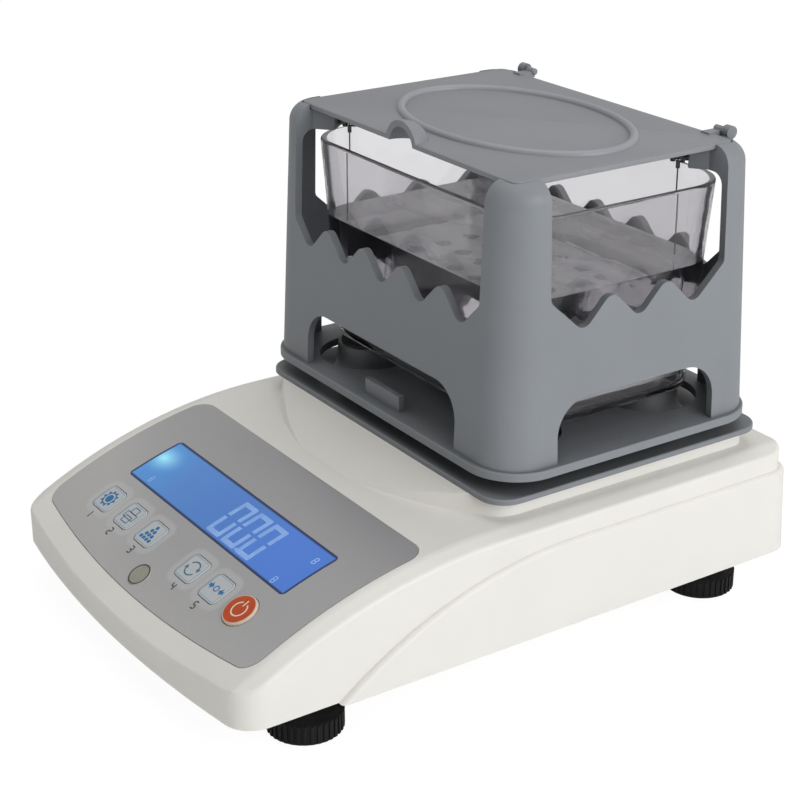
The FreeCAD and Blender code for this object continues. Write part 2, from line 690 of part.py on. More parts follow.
def wave_window(half_w, valleys, through, across_x):
    """Window cut: wavy sill with a number of dips, straight sides, open at the top."""
    first = -(valleys - 1) / 2 * WAVE_PITCH
    top = CAGE_H + 12
    sill = [(-half_w, WAVE_VALLEY + min(half_w + first, WAVE_PITCH / 2 + 0.6), 3.0)]
    for i in range(valleys):
        sill.append((first + i * WAVE_PITCH, WAVE_VALLEY, WAVE_R))
        if i < valleys - 1:
            sill.append((first + (i + 0.5) * WAVE_PITCH, WAVE_PEAK, WAVE_R))
    sill.append((half_w, sill[0][1], 3.0))
    corners = [(-half_w, top, 0)] + sill + [(half_w, top, 0)]
    return side_cut(corners, through, across_x)


def arch_cut(size, through, across_x):
    half_w, height = size
    corners = [(-half_w, 0, 0), (-half_w, height, ARCH_R), (half_w, height, ARCH_R), (half_w, 0, 0)]
    return side_cut(corners, through, across_x)


def pin_ends(sx, sy):
    """Start inside the corner block and outer end of a hanger pin."""
    inner = vec(sx * 67.0, CAGE_Y + sy * 45.0, HANGER_Z + 1.5)
    outer = vec(sx * (WIRE_XY[0] - 1.2), CAGE_Y + sy * (WIRE_XY[1] - 0.8), HANGER_Z + 1.5)
    return inner, outer


def weighing_cage():
    outer = tapered(CAGE_FOOT_HALF, CAGE_CORNER_R[0], FLANGE_TOP - 0.5, CAGE_TOP_HALF, CAGE_CORNER_R[1],
                    FLANGE_TOP + CAGE_H)
    outer = fillet_where(outer, CAGE_TOP_R, lambda e: e.BoundBox.ZMin > FLANGE_TOP + CAGE_H - 0.1)
    room_top = FLANGE_TOP + CAGE_H - CAGE_TOP_T
    inner = tapered([h - CAGE_WALL for h in CAGE_FOOT_HALF], CAGE_CORNER_R[0] - CAGE_WALL, FLANGE_TOP - 1,
                    [h - CAGE_WALL + 0.2 for h in CAGE_TOP_HALF], CAGE_CORNER_R[1] - CAGE_WALL, room_top)
    inner = fillet_where(inner, CAGE_TOP_R - CAGE_WALL, lambda e: e.BoundBox.ZMin > room_top - 0.1)
    body = outer.cut(inner)
    body = body.cut(wave_window(FRONT_WINDOW, 5, 90, False))
    body = body.cut(wave_window(SIDE_WINDOW, 3, 110, True))
    body = body.cut(arch_cut(FRONT_ARCH, 90, False))
    body = body.cut(arch_cut(SIDE_ARCH, 110, True))
    pocket_floor = FLANGE_TOP + CAGE_H - LID_T - 0.3
    body = body.cut(slab([h + LID_GAP for h in LID_HALF], LID_R + LID_GAP, pocket_floor, pocket_floor + 20))
    for sx in (-1, 1):
        x = sx * EAR_X
        ear = rod(2.6, vec(x - 1.7, HINGE_Y, HINGE_Z), vec(x + 1.7, HINGE_Y, HINGE_Z))
        web = box(x - 1.7, x + 1.7, HINGE_Y - 2.2, HINGE_Y + 0.8, HINGE_Z - 6.5, HINGE_Z)
        body = body.fuse(ear).fuse(web)
        bore = rod(HINGE_PIN_R + 0.05, vec(sx * 62.0, HINGE_Y, HINGE_Z), vec(sx * 66.2, HINGE_Y, HINGE_Z))
        body = body.cut(bore)
    floor = slab(FLANGE_HALF, FLANGE_R, FLANGE_TOP - FLANGE_T, FLANGE_TOP)
    floor = floor.makeFillet(0.6, [e for e in floor.Edges if e.BoundBox.ZMin > FLANGE_TOP - 0.01])
    for x, y in four(*POST_XY):
        floor = floor.cut(post(HOLE_R, x, y, 60, 90))
    tab = box(-12.2, 12.2, CAGE_Y - 61.0, CAGE_Y - 58.5, FLANGE_TOP - 1, FLANGE_TOP + 6.6)
    body = body.fuse(floor).fuse(tab)
    for sx in (-1, 1):
        for sy in (-1, 1):
            start, end = pin_ends(sx, sy)
            body = body.cut(rod(1.7, start, end))
    return body.removeSplitter()


def hanger_pins():
    pins = []
    for sx in (-1, 1):
        for sy in (-1, 1):
            start, end = pin_ends(sx, sy)
            pin = rod(1.7, start, end)
            back = start.sub(end)
            back.normalize()
            collar = rod(2.6, end.add(back * 1.6), end)
            eye = post(WIRE_R, sx * WIRE_XY[0], CAGE_Y + sy * WIRE_XY[1], HANGER_Z - 5, HANGER_Z + 0.6)
            pins.append(pin.fuse(collar).cut(eye))
    return Part.makeCompound(pins)


def suspension_wires():
    wires = []
    for x, y in four(*WIRE_XY):
        wires.append(post(WIRE_R, x, y, PAN_Z + 1.5, HANGER_Z + 0.6))
    return Part.makeCompound(wires)


def wire_ferrules():
    ferrules = []
    for x, y in four(*WIRE_XY):
        for z in (HANGER_Z - 5.4, PAN_Z + 4.2):
            ferrules.append(post(1.9, x, y, z, z + 4.0).cut(post(WIRE_R, x, y, z - 1, z + 6)))
    return Part.makeCompound(ferrules)


def immersion_pan():
    pan = slab(PAN_HALF, 6.0, PAN_Z, PAN_Z + 4.0)
    pan = pan.cut(slab([h - 1.2 for h in PAN_HALF], 4.8, PAN_Z + 1.2, 200))
    for i in range(-3, 4):
        for j in range(-2, 3):
            pan = pan.cut(post(4.0, i * 14.0, CAGE_Y + j * 14.0, 0, 200))
    for x, y in four(*WIRE_XY):
        pan = pan.fuse(post(2.6, x, y, PAN_Z, PAN_Z + 1.5))
    return pan.removeSplitter()


def carrier_post():
    """Stem from the cage floor down through the housing to the bracket."""
    base = CELL_Z + CELL_H + 4.0
    profile = [(0, base), (5.0, base), (5.0, FLANGE_TOP - FLANGE_T - 5), (6.5, FLANGE_TOP - FLANGE_T - 3),
               (6.5, FLANGE_TOP - FLANGE_T), (0, FLANGE_TOP - FLANGE_T)]
    return revolve(profile, 0, CAGE_Y)


def carrier_bracket():
    low = CELL_Z + CELL_H + 0.6
    plate = slab((32.0, 9.0), 3.0, low, low + 3.4, (22.0, CAGE_Y))
    return plate


def carrier_screw():
    head = FLANGE_TOP
    disc = post(4.5, 0, CAGE_Y, head, head + 2.2)
    return disc.cut(post(1.8, 0, CAGE_Y, head + 0.6, head + 5))


# ---------------------------------------------------------------- lid
def cage_lid():
    top = FLANGE_TOP + CAGE_H
    plate = slab(LID_HALF, LID_R, top - LID_T, top)
    inner_r, outer_r = LID_RING_R
    ring = post(outer_r, LID_RING_X, CAGE_Y, top - 0.5, top + 1.0)
    ring = ring.cut(post(inner_r, LID_RING_X, CAGE_Y, 0, 300))
    ring = ring.makeFillet(0.6, [e for e in ring.Edges if e.BoundBox.ZMin > top + 0.9])
    ring = ring.common(slab([h - 0.4 for h in LID_HALF], LID_R, 0, 300))
    lid = plate.fuse(ring)
    notch_z = top - 2.1
    notch_x = 1.2
    front, back = CAGE_Y - LID_HALF[1], CAGE_Y - 44.0
    tunnel = rod(10.2, vec(notch_x, front, notch_z), vec(notch_x, back - 2, notch_z))
    tunnel = tunnel.fuse(Part.makeSphere(10.2, vec(notch_x, back - 2, notch_z)))
    hollow = rod(7.7, vec(notch_x, front - 5, notch_z), vec(notch_x, back - 2, notch_z))
    hollow = hollow.fuse(Part.makeSphere(7.7, vec(notch_x, back - 2, notch_z)))
    above = box(-30, 30, front, CAGE_Y, top - LID_T, top + 20)
    lid = lid.fuse(tunnel.common(above)).cut(hollow)
    for sx in (-1, 1):
        x = sx * LUG_X
        knuckle = rod(2.9, vec(x - 1.8, HINGE_Y, HINGE_Z), vec(x + 1.8, HINGE_Y, HINGE_Z))
        arm = box(x - 1.8, x + 1.8, CAGE_Y + LID_HALF[1] - 3, HINGE_Y, HINGE_Z - 2.6, HINGE_Z + 1.4)
        lid = lid.fuse(knuckle).fuse(arm)
        lid = lid.cut(rod(HINGE_PIN_R, vec(sx * 59.4, HINGE_Y, HINGE_Z), vec(sx * 70, HINGE_Y, HINGE_Z)))
    return lid.removeSplitter()


def lid_pins():
    pins = []
    for sx in (-1, 1):
        pins.append(rod(HINGE_PIN_R, vec(sx * 59.4, HINGE_Y, HINGE_Z), vec(sx * 66.0, HINGE_Y, HINGE_Z)))
    return Part.makeCompound(pins)


# ---------------------------------------------------------------- levelling feet
def foot_stud(x, y):
    """Threaded stud with a rubber-shod disc at its lower end."""
    stud = post(STUD_R, x, y, 1.0, BASE_Z + 18)
    stud = stud.makeChamfer(0.8, [e for e in stud.Edges if e.BoundBox.ZMin > BASE_Z + 17])
    return stud.fuse(post(10.0, x, y, 0.0, 1.4))


def foot_knob(x, y):
    """Ribbed hand wheel that turns the stud."""
    knob = post(KNOB_R - 0.5, x, y, 0.5, KNOB_H)
    for i in range(36):
        angle = 2 * math.pi * i / 36
        rib = Part.makeBox(1.6, 1.3, KNOB_H - 1.1, vec(KNOB_R - 1.6, -0.65, 0.8))
        rib.rotate(vec(0, 0, 0), vec(0, 0, 1), math.degrees(angle))
        rib.translate(vec(x, y, 0))
        knob = knob.fuse(rib)
    knob = knob.cut(post(10.4, x, y, 0, 1.8))
    return knob.cut(post(STUD_BORE_R, x, y, 0, 60))


# ---------------------------------------------------------------- write the nodes
PLAIN_NODES = [base_cover, base_tray, foot_inserts, case_screws, panel_overlay, power_key, key_board,
               key_switches, display_window, lcd_module, bubble_level, level_lens, main_board, board_parts,
               board_standoffs, load_cell, cell_mount, cell_screws, battery_pack, dc_jack, data_port,
               tank_support_plate, post_pads, water_tank, weighing_cage, hanger_pins, suspension_wires,
               wire_ferrules, immersion_pan, carrier_post, carrier_bracket, carrier_screw, cage_lid, lid_pins]

for build in PLAIN_NODES:
    export(build(), build.__name__)

for key_name, key_x in KEYS.items():
    export(membrane_key(key_x), key_name)

for side, side_x in (("left", -FOOT_X), ("right", FOOT_X)):
    for end, end_y in zip(("front", "rear"), FOOT_Y):
        export(foot_stud(side_x, end_y), "foot_stud_" + end + "_" + side)
        export(foot_knob(side_x, end_y), "foot_knob_" + end + "_" + side)
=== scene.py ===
"""Looks of the benchtop density meter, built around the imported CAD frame. Metres, +Z up."""
import json
import math

import bmesh
import bpy
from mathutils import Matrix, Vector


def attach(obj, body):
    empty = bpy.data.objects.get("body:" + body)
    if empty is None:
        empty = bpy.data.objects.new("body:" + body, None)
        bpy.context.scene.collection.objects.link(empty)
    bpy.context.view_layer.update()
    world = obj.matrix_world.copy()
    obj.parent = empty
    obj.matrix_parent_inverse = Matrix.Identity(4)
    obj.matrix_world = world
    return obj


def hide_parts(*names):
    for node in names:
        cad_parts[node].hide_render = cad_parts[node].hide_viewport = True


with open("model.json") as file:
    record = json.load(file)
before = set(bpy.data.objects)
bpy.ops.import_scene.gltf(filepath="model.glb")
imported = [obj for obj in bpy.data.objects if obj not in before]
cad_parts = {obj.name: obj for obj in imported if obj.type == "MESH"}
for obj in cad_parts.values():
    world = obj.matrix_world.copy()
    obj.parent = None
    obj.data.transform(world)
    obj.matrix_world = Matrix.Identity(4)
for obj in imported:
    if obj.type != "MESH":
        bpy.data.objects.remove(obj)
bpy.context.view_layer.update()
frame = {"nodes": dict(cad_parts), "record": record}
NODES = frame["nodes"]
MM = 0.001

# ---------------------------------------------------------------- places shared with the CAD
ORIGIN_Y = 3.95          # the CAD moves its drawing datum by this much
CAGE_Y = 57.5 - ORIGIN_Y
FLANGE_TOP = 79.5
DECK_Z = 60.7
PANEL_R = 217.4          # the control panel is an arc of this radius,
PANEL_Y = -10.6 - ORIGIN_Y  # and leaves the deck here
TANK_FLOOR_Z = 86.0
TANK_RIM_Z = 173.0
TANK_CENTRE = (0.8, CAGE_Y + 0.8)
TANK_FOOT_HALF = (70.0, 46.0)
TANK_RIM_HALF = (76.0, 51.5)
TANK_WALL = 2.6

# water in the tank
WATER_Z = 140.5
WATER_OVERLAP = 0.06     # into the tank's inner faces, so that no air gap shows
WATER_CORNER = 14.6      # corner radius at the tank's foot,
WATER_CORNER_GROWTH = 2.4  # and what it gains up to the rim
WATER_EDGE = 2.5         # rounding of the lower edge,
WATER_EDGE_MIDDLE = 0.7  # and the point between its ends
WATER_EDGE_CORNER = 0.8  # the corner radius shrinks there by this share of the inset

# lid, with the hinge line behind it
LID_HALF = (74.0, 52.6)
LID_FRONT_Y = CAGE_Y - LID_HALF[1]
LID_TOP = FLANGE_TOP + 108.1
LID_T = 2.0
LID_R = 4.0
LID_BEVEL = 0.2          # along the lower edge
LID_ROUNDING = 0.5       # along the upper edge,
LID_ROUNDING_MIDDLE = 0.15  # and the point between its ends
HINGE_Y = CAGE_Y + 57.6
HINGE_Z = FLANGE_TOP + 108.7
LUG_X = (57.0, 62.8)     # ends of the bar on the hinge line
LUG_R = 1.5
LUG_ARM_X = (57.8, 62.4)
LUG_ARM_Y = (CAGE_Y + LID_HALF[1] - 3.0, HINGE_Y + 0.2)
LUG_ARM_Z = (HINGE_Z - 2.4, HINGE_Z + 0.1)
RIDGE_CENTRE = (2.0, CAGE_Y + 1.2)
RIDGE_HALF = (58.2, 37.5)
RIDGE_W = 3.6
RIDGE_H = 1.8
RIDGE_FOOT = -0.3        # the ridge starts this deep in the lid,
RIDGE_SHOULDER = 0.1     # and stands upright up to here

# arched finger notch at the lid's front: the hood, and the hollow under it
HOOD_X = 1.0
HOOD_Z = LID_TOP - 3.4   # axis of the arch
HOOD_Y = LID_FRONT_Y + 1.0  # the arch runs straight to here, then closes
HOOD_LOW_Z = LID_TOP - LID_T + 0.1  # just above the lid's underside
HOOD_R = 10.6
HOOD_REACH = 10.5
HOOD_END_R = 3.0
HOLLOW_R = 8.1
HOLLOW_REACH = 8.0
HOLLOW_END_R = 1.6
HOLLOW_LEAD = 3.0        # the cutter starts this far in front of the lid

# hangers under the lid's corners
WIRE_XY = (58.0, 38.4)
WIRE_ENDS_Z = (94.0, 178.7)
WIRE_R = 0.3
CRIMPS = ((WIRE_ENDS_Z[0] + 0.2, 3.0), (WIRE_ENDS_Z[1] - 3.6, 3.2))  # foot and length
CRIMP_R = 0.85
CRIMP_END_R = 0.6
CRIMP_BEVEL = 0.2
ARM_ROOT = (70.0, 48.5)  # inside the solid corner of the cage
ARM_TIP = 4.5            # from the wire to the end of the arm
ARM_HALF_W = 5.5
ARM_Z = (177.0, 185.1)
ARM_BEVEL = 0.4
BOLT_Z = FLANGE_TOP + 100.1
BOLT = (                 # distance from the wire into the arm, and radius
    (-3.0, 0.9), (-2.9, 1.9), (-1.2, 1.9), (-1.1, 1.0), (0.9, 1.0),
    (1.0, 2.1), (2.6, 2.1), (2.7, 1.2), (ARM_TIP + 2.0, 1.2),
)

# on the panel: u to the right, v up the slope along the arc, w outward
KEY_V = -93.4
KEY_SIZE = (12.2, 12.0)
KEY_CORNER = 2.0
KEYS = {"key_set": -53.4, "key_print": -34.5, "key_enter": -16.1, "key_mode": 18.4, "key_zero": 37.2}
KEY_TOP = 0.35
POWER_UV = (55.8, -93.9)
POWER_R = 7.2
POWER_TOP = 1.1
LEVEL_UV = (-0.2, -108.4)
LEVEL_R = 5.3
LCD_U = (-61.3, 63.4)
LCD_V = (-79.7, -53.5)
LCD_TOP = 0.1
FILM_TOP = 0.15
FILM_SHEEN_U = (-85.0, -15.0)  # the film's painted sheen fades between these,
FILM_SHEEN_V = (-118.0, -35.0)  # and between these
FILM_HALO = (2.4, 3.8)   # the pale zone round a key fades between these distances
KEY_LINE = -0.75         # the line on a key runs this far inside its edge
KEY_LINE_HALF_W = 0.22
LCD_RIM = (-1.5, -0.8)   # the display turns dark between these distances from its edge
LEVEL_LINE_R = (LEVEL_R - 1.15, LEVEL_R - 1.0)  # the level's dark line starts here,
LEVEL_FILM_R = (LEVEL_R - 0.4, LEVEL_R - 0.25)  # and gives way to the film's grey here
POWER_EDGE_R = (POWER_R - 0.85, POWER_R - 0.65)  # the round key turns cream here
GLOW_UV = (-56.5, -64.5)  # brightest place of the display
GLOW_R = 11.0

# figures and marks on the panel
ZERO_UV = (1.9, -77.6)   # lower left corner of the first lit zero
ZERO_PITCH = 11.4
ZERO_SIZE = (9.5, 19.8)
ZERO_BAR = 2.2
POINT_UV = (24.3, -76.6)
POINT_R = 0.8
SMALL_FIGURES = (        # place, width, height and bar width of the small eights
    (-48.8, -77.2, 2.0, 3.4, 0.45),
    (56.0, -62.4, 2.2, 3.6, 0.5),
    (51.8, -78.4, 2.2, 3.6, 0.5),
)
NUMBERS_U = (-54.4, -35.4, -16.6, 19.0, 36.2)
NUMBERS_V = -105.3
NUMBER_SIZE = (2.4, 4.0)
NUMBER_BAR = 0.6
FIGURE_RISE = 0.1        # how far the lit figures,
INK_RISE = 0.04          # the marks on the keys
NUMBER_RISE = 0.03       # and the numbers under them stand out


# ---------------------------------------------------------------- camera, light and floor
CAMERA_AT = (0.56647, -0.37871, 0.37027)
CAMERA_AZ = 56.14
CAMERA_EL = 23.16
CAMERA_LENS = 82.06
CAMERA_SENSOR = 36.0
SKY = 0.375              # even light from all round
SKY_TINT = (1.0, 0.985, 0.965)
GLOSSY_SKY = 0.35        # share of full white that reflections see
MAIN_AT = (1.5, 0.25, 0.75)  # large lamp at the right
MAIN_TARGET = (0, 0.05, 0.08)
MAIN_SIZE = (1.2, 1.0)
MAIN_POWER = 14.9
MAIN_TINT = (0.985, 0.99, 1.0)
TOP_AT = (-0.25, 0.15, 1.6)  # lamp overhead
TOP_TARGET = (0, 0.05, 0.1)
TOP_SIZE = (1.4, 1.4)
TOP_POWER = 7.2
FLOOR_SIZE = 6.0
FLOOR_Z = -0.0002        # a hair under the feet
FLOOR_TONE = 0.93        # what the floor throws back on the object
FLOOR_GLOW = 1.07        # even white that the camera sees on it,
FLOOR_GLOW_SHARE = 0.88  # mixed in by this share


def make_camera():
    data = bpy.data.cameras.new("camera")
    data.lens = CAMERA_LENS
    data.sensor_width = CAMERA_SENSOR
    camera = bpy.data.objects.new("camera", data)
    camera.location = CAMERA_AT
    camera.rotation_euler = (math.radians(90 - CAMERA_EL), 0, math.radians(CAMERA_AZ))
    bpy.context.scene.collection.objects.link(camera)
    bpy.context.scene.camera = camera


def area_light(name, at, target, size, power, color=(1, 1, 1)):
    data = bpy.data.lights.new(name, "AREA")
    data.shape = "RECTANGLE"
    data.size, data.size_y = size
    data.energy = power
    data.color = color
    light = bpy.data.objects.new(name, data)
    light.location = at
    light.rotation_euler = (Vector(target) - Vector(at)).to_track_quat("-Z", "Y").to_euler()
    bpy.context.scene.collection.objects.link(light)


def make_world():
    """White where the camera looks, soft light on the object, something between in reflections."""
    world = bpy.data.worlds.new("studio")
    bpy.context.scene.world = world
    world.use_nodes = True
    tree = world.node_tree
    tree.nodes.clear()
    out = tree.nodes.new("ShaderNodeOutputWorld")
    path = tree.nodes.new("ShaderNodeLightPath")
    direct = tree.nodes.new("ShaderNodeMath")
    direct.operation = "MAXIMUM"
    tree.links.new(path.outputs["Is Camera Ray"], direct.inputs[0])
    tree.links.new(path.outputs["Is Transmission Ray"], direct.inputs[1])
    mirrored = tree.nodes.new("ShaderNodeMath")
    mirrored.operation = "MULTIPLY"
    tree.links.new(path.outputs["Is Glossy Ray"], mirrored.inputs[0])
    mirrored.inputs[1].default_value = GLOSSY_SKY
    seen = tree.nodes.new("ShaderNodeMath")
    seen.operation = "MAXIMUM"
    tree.links.new(direct.outputs[0], seen.inputs[0])
    tree.links.new(mirrored.outputs[0], seen.inputs[1])
    white = tree.nodes.new("ShaderNodeBackground")
    white.inputs["Color"].default_value = (1, 1, 1, 1)
    white.inputs["Strength"].default_value = 1.0
    soft = tree.nodes.new("ShaderNodeBackground")
    soft.inputs["Color"].default_value = (*SKY_TINT, 1)
    soft.inputs["Strength"].default_value = SKY
    mix = tree.nodes.new("ShaderNodeMixShader")
    tree.links.new(seen.outputs[0], mix.inputs[0])
    tree.links.new(soft.outputs[0], mix.inputs[1])
    tree.links.new(white.outputs[0], mix.inputs[2])
    tree.links.new(mix.outputs[0], out.inputs[0])


# ---------------------------------------------------------------- shader helpers
class Paint:
    """One node material, with short calls for the nodes that the finishes share."""

    def __init__(self, name):
        self.material = bpy.data.materials.new(name)
        self.material.use_nodes = True
        self.tree = self.material.node_tree
        self.tree.nodes.clear()
        self.out = self.tree.nodes.new("ShaderNodeOutputMaterial")
        self.shader = self.tree.nodes.new("ShaderNodeBsdfPrincipled")
        self.link(self.shader.outputs[0], self.out.inputs["Surface"])
        self.coords = self.tree.nodes.new("ShaderNodeTexCoord").outputs["Object"]

    def link(self, source, target):
        self.tree.links.new(source, target)

    def set(self, **values):
        for name, value in values.items():
            self.shader.inputs[name.replace("_", " ")].default_value = value
        return self

    def noise(self, size_mm, detail, rough=0.55, stretch=(1, 1, 1)):
        mapping = self.tree.nodes.new("ShaderNodeMapping")
        mapping.inputs["Scale"].default_value = stretch
        self.link(self.coords, mapping.inputs["Vector"])
        node = self.tree.nodes.new("ShaderNodeTexNoise")
        node.inputs["Scale"].default_value = 1.0 / (size_mm * MM)
        node.inputs["Detail"].default_value = detail
        node.inputs["Roughness"].default_value = rough
        self.link(mapping.outputs[0], node.inputs["Vector"])
        return node.outputs["Fac"]

    def ramp(self, value, stops):
        node = self.tree.nodes.new("ShaderNodeValToRGB")
        elements = node.color_ramp.elements
        while len(elements) < len(stops):
            elements.new(0.5)
        for element, (position, color) in zip(elements, stops):
            element.position = position
            element.color = (*color, 1)
        self.link(value, node.inputs[0])
        return node.outputs[0]

    def remap(self, value, low, high, to_low, to_high):
        node = self.tree.nodes.new("ShaderNodeMapRange")
        limits = {"From Min": low, "From Max": high, "To Min": to_low, "To Max": to_high}
        for name, number in limits.items():
            node.inputs[name].default_value = number
        self.link(value, node.inputs["Value"])
        return node.outputs[0]

    def math(self, operation, a, b=None):
        node = self.tree.nodes.new("ShaderNodeMath")
        node.operation = operation
        for socket, value in zip(node.inputs, (a, b)):
            if isinstance(value, (int, float)):
                socket.default_value = value
            elif value is not None:
                self.link(value, socket)
        return node.outputs[0]

    def mix(self, factor, a, b):
        node = self.tree.nodes.new("ShaderNodeMix")
        node.data_type = "RGBA"
        # factor and the two colours of a colour mix
        sockets = [node.inputs[0], node.inputs[6], node.inputs[7]]
        for socket, value in zip(sockets, (factor, a, b)):
            if isinstance(value, tuple):
                socket.default_value = (*value, 1)
            elif isinstance(value, (int, float)):
                socket.default_value = value
            else:
                self.link(value, socket)
        return node.outputs[2]

    def bump(self, height, distance_mm):
        node = self.tree.nodes.new("ShaderNodeBump")
        node.inputs["Strength"].default_value = 1.0
        node.inputs["Distance"].default_value = distance_mm * MM
        self.link(height, node.inputs["Height"])
        self.link(node.outputs[0], self.shader.inputs["Normal"])

    def panel_axes(self):
        """Object coordinates turned into millimetres on the panel: (u, v)."""
        split = self.tree.nodes.new("ShaderNodeSeparateXYZ")
        self.link(self.coords, split.inputs[0])
        forward = self.math("SUBTRACT", PANEL_Y * MM, split.outputs[1])
        height = self.math("SUBTRACT", split.outputs[2], (DECK_Z - PANEL_R) * MM)
        angle = self.math("ARCTAN2", forward, height)
        return self.math("MULTIPLY", split.outputs[0], 1 / MM), self.math("MULTIPLY", angle, -PANEL_R)

    def box_field(self, axes, centre, half, corner=0.0):
        """Distance outside (or, if negative, inside) a rectangle of the panel, in millimetres."""
        sides = []
        for value, middle, size in zip(axes, centre, half):
            offset = self.math("ABSOLUTE", self.math("SUBTRACT", value, middle))
            sides.append(self.math("SUBTRACT", offset, size - corner))
        inside = self.math("MINIMUM", self.math("MAXIMUM", *sides), 0.0)
        squares = []
        for side in sides:
            beyond = self.math("MAXIMUM", side, 0.0)
            squares.append(self.math("MULTIPLY", beyond, beyond))
        outside = self.math("SQRT", self.math("ADD", *squares))
        return self.math("SUBTRACT", self.math("ADD", inside, outside), corner)

    def key_field(self, axes):
        """Distance to the edge of the nearest square key."""
        half = [size / 2 for size in KEY_SIZE]
        fields = [self.box_field(axes, (u, KEY_V), half, KEY_CORNER) for u in KEYS.values()]
        nearest = fields[0]
        for field in fields[1:]:
            nearest = self.math("MINIMUM", nearest, field)
        return nearest

    def radius(self, axes, centre, stretch=(1.0, 1.0)):
        """Distance from a point of the panel, in millimetres."""
        squares = []
        for value, middle, scale in zip(axes, centre, stretch):
            offset = self.math("MULTIPLY", self.math("SUBTRACT", value, middle), scale)
            squares.append(self.math("MULTIPLY", offset, offset))
        return self.math("SQRT", self.math("ADD", *squares))


def plastic(name, color, rough, grain_mm, grain_depth, mottle):
    """Moulded plastic: fine texture, slight colour drift and uneven sheen."""
    paint = Paint(name)
    drift = paint.noise(38.0, 2.0)
    darker = tuple(c * (1 - mottle) for c in color)
    lighter = tuple(min(1.0, c * (1 + mottle)) for c in color)
    paint.link(paint.ramp(drift, [(0.3, darker), (0.7, lighter)]), paint.shader.inputs["Base Color"])
    grain = paint.noise(grain_mm, 2.0)
    paint.link(paint.remap(grain, 0.3, 0.7, rough - 0.04, rough + 0.05), paint.shader.inputs["Roughness"])
    paint.bump(grain, grain_depth)
    return paint


def shade_crevices(paint, darkest, reach_mm):
    """Painted shade: darken the paint where other faces stand close by; darkest is the share in a narrow
    gap.
    """
    base = paint.shader.inputs["Base Color"]
    tone = base.links[0].from_socket
    open_air = paint.tree.nodes.new("ShaderNodeAmbientOcclusion")
    open_air.samples = 8
    open_air.inputs["Distance"].default_value = reach_mm * MM
    share = paint.remap(open_air.outputs["AO"], 0.25, 0.95, darkest, 0.0)
    near_black = (0.02, 0.02, 0.02)
    paint.link(paint.mix(share, tone, near_black), base)


def metal(name, color, rough, brush=(1, 1, 12)):
    """Metal with fine streaks; brush says how much finer they are along each axis."""
    paint = Paint(name)
    paint.set(Metallic=1.0)
    streak = paint.noise(0.6, 3.0, 0.6, brush)
    darker = tuple(c * 0.86 for c in color)
    paint.link(paint.ramp(streak, [(0.3, darker), (0.7, color)]), paint.shader.inputs["Base Color"])
    paint.link(paint.remap(streak, 0.3, 0.7, rough - 0.06, rough + 0.08), paint.shader.inputs["Roughness"])
    paint.bump(streak, 0.01)
    return paint


def clear(name, color, ior, rough, unbent=0.0):
    """Clear plastic or water. Lamp light goes straight in; an unbent share softens black edges."""
    paint = Paint(name)
    paint.set(Transmission_Weight=1.0, IOR=ior, Roughness=rough)
    cloud = paint.noise(30.0, 2.0)
    tone = paint.ramp(cloud, [(0.3, tuple(c * 0.98 for c in color)), (0.7, color)])
    paint.link(tone, paint.shader.inputs["Base Color"])
    straight = paint.tree.nodes.new("ShaderNodeBsdfTransparent")
    straight.inputs[0].default_value = (*(math.sqrt(c) for c in color), 1)
    path = paint.tree.nodes.new("ShaderNodeLightPath")
    mix = paint.tree.nodes.new("ShaderNodeMixShader")
    paint.link(paint.math("MAXIMUM", path.outputs["Is Shadow Ray"], unbent), mix.inputs[0])
    paint.link(paint.shader.outputs[0], mix.inputs[1])
    paint.link(straight.outputs[0], mix.inputs[2])
    paint.link(mix.outputs[0], paint.out.inputs["Surface"])
    return paint


# ---------------------------------------------------------------- mesh helpers
def panel_point(u, v, w, flat_at):
    """A point of the panel, or of the flat face that touches it at the height flat_at."""
    angle = -(v if flat_at is None else flat_at) / PANEL_R
    rise = 0.0 if flat_at is None else v - flat_at
    y = PANEL_Y - (PANEL_R + w) * math.sin(angle) + rise * math.cos(angle)
    z = DECK_Z - PANEL_R + (PANEL_R + w) * math.cos(angle) + rise * math.sin(angle)
    return Vector((u, y, z)) * MM


def add_piece(name, mesh, material, body):
    """Put a mesh in the scene as a piece that rides a body of the frame."""
    piece = bpy.data.objects.new(name, mesh)
    bpy.context.scene.collection.objects.link(piece)
    mesh.materials.append(material)
    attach(piece, body)
    return piece


def smooth(piece, degrees=35):
    """Shade smooth across every edge that is flatter than the angle."""
    mesh = piece.data
    mesh.polygons.foreach_set("use_smooth", [True] * len(mesh.polygons))
    mesh.set_sharp_from_angle(angle=math.radians(degrees))
    mesh.update()


def flat_shape(name, loops, low, high, flat_at=None):
    """Thin solid on the panel with the outlines given, the first of each group outer."""
    bm = bmesh.new()
    for group in loops:
        edges = []
        for loop in group:
            verts = [bm.verts.new((x, y, 0)) for x, y in loop]
            for a, b in zip(verts, verts[1:] + verts[:1]):
                edges.append(bm.edges.new((a, b)))
        bmesh.ops.triangle_fill(bm, edges=edges, use_beauty=True)
    top = list(bm.faces)
    for face in top:
        if face.normal.z > 0:
            face.normal_flip()
    made = bmesh.ops.extrude_face_region(bm, geom=top)
    lifted = [g for g in made["geom"] if isinstance(g, bmesh.types.BMVert)]
    for vert in lifted:
        vert.co.z = high - low
    bmesh.ops.recalc_face_normals(bm, faces=bm.faces)
    for vert in bm.verts:
        vert.co = panel_point(vert.co.x, vert.co.y, vert.co.z + low, flat_at)
    mesh = bpy.data.meshes.new(name)
    bm.to_mesh(mesh)
    bm.free()
    return mesh


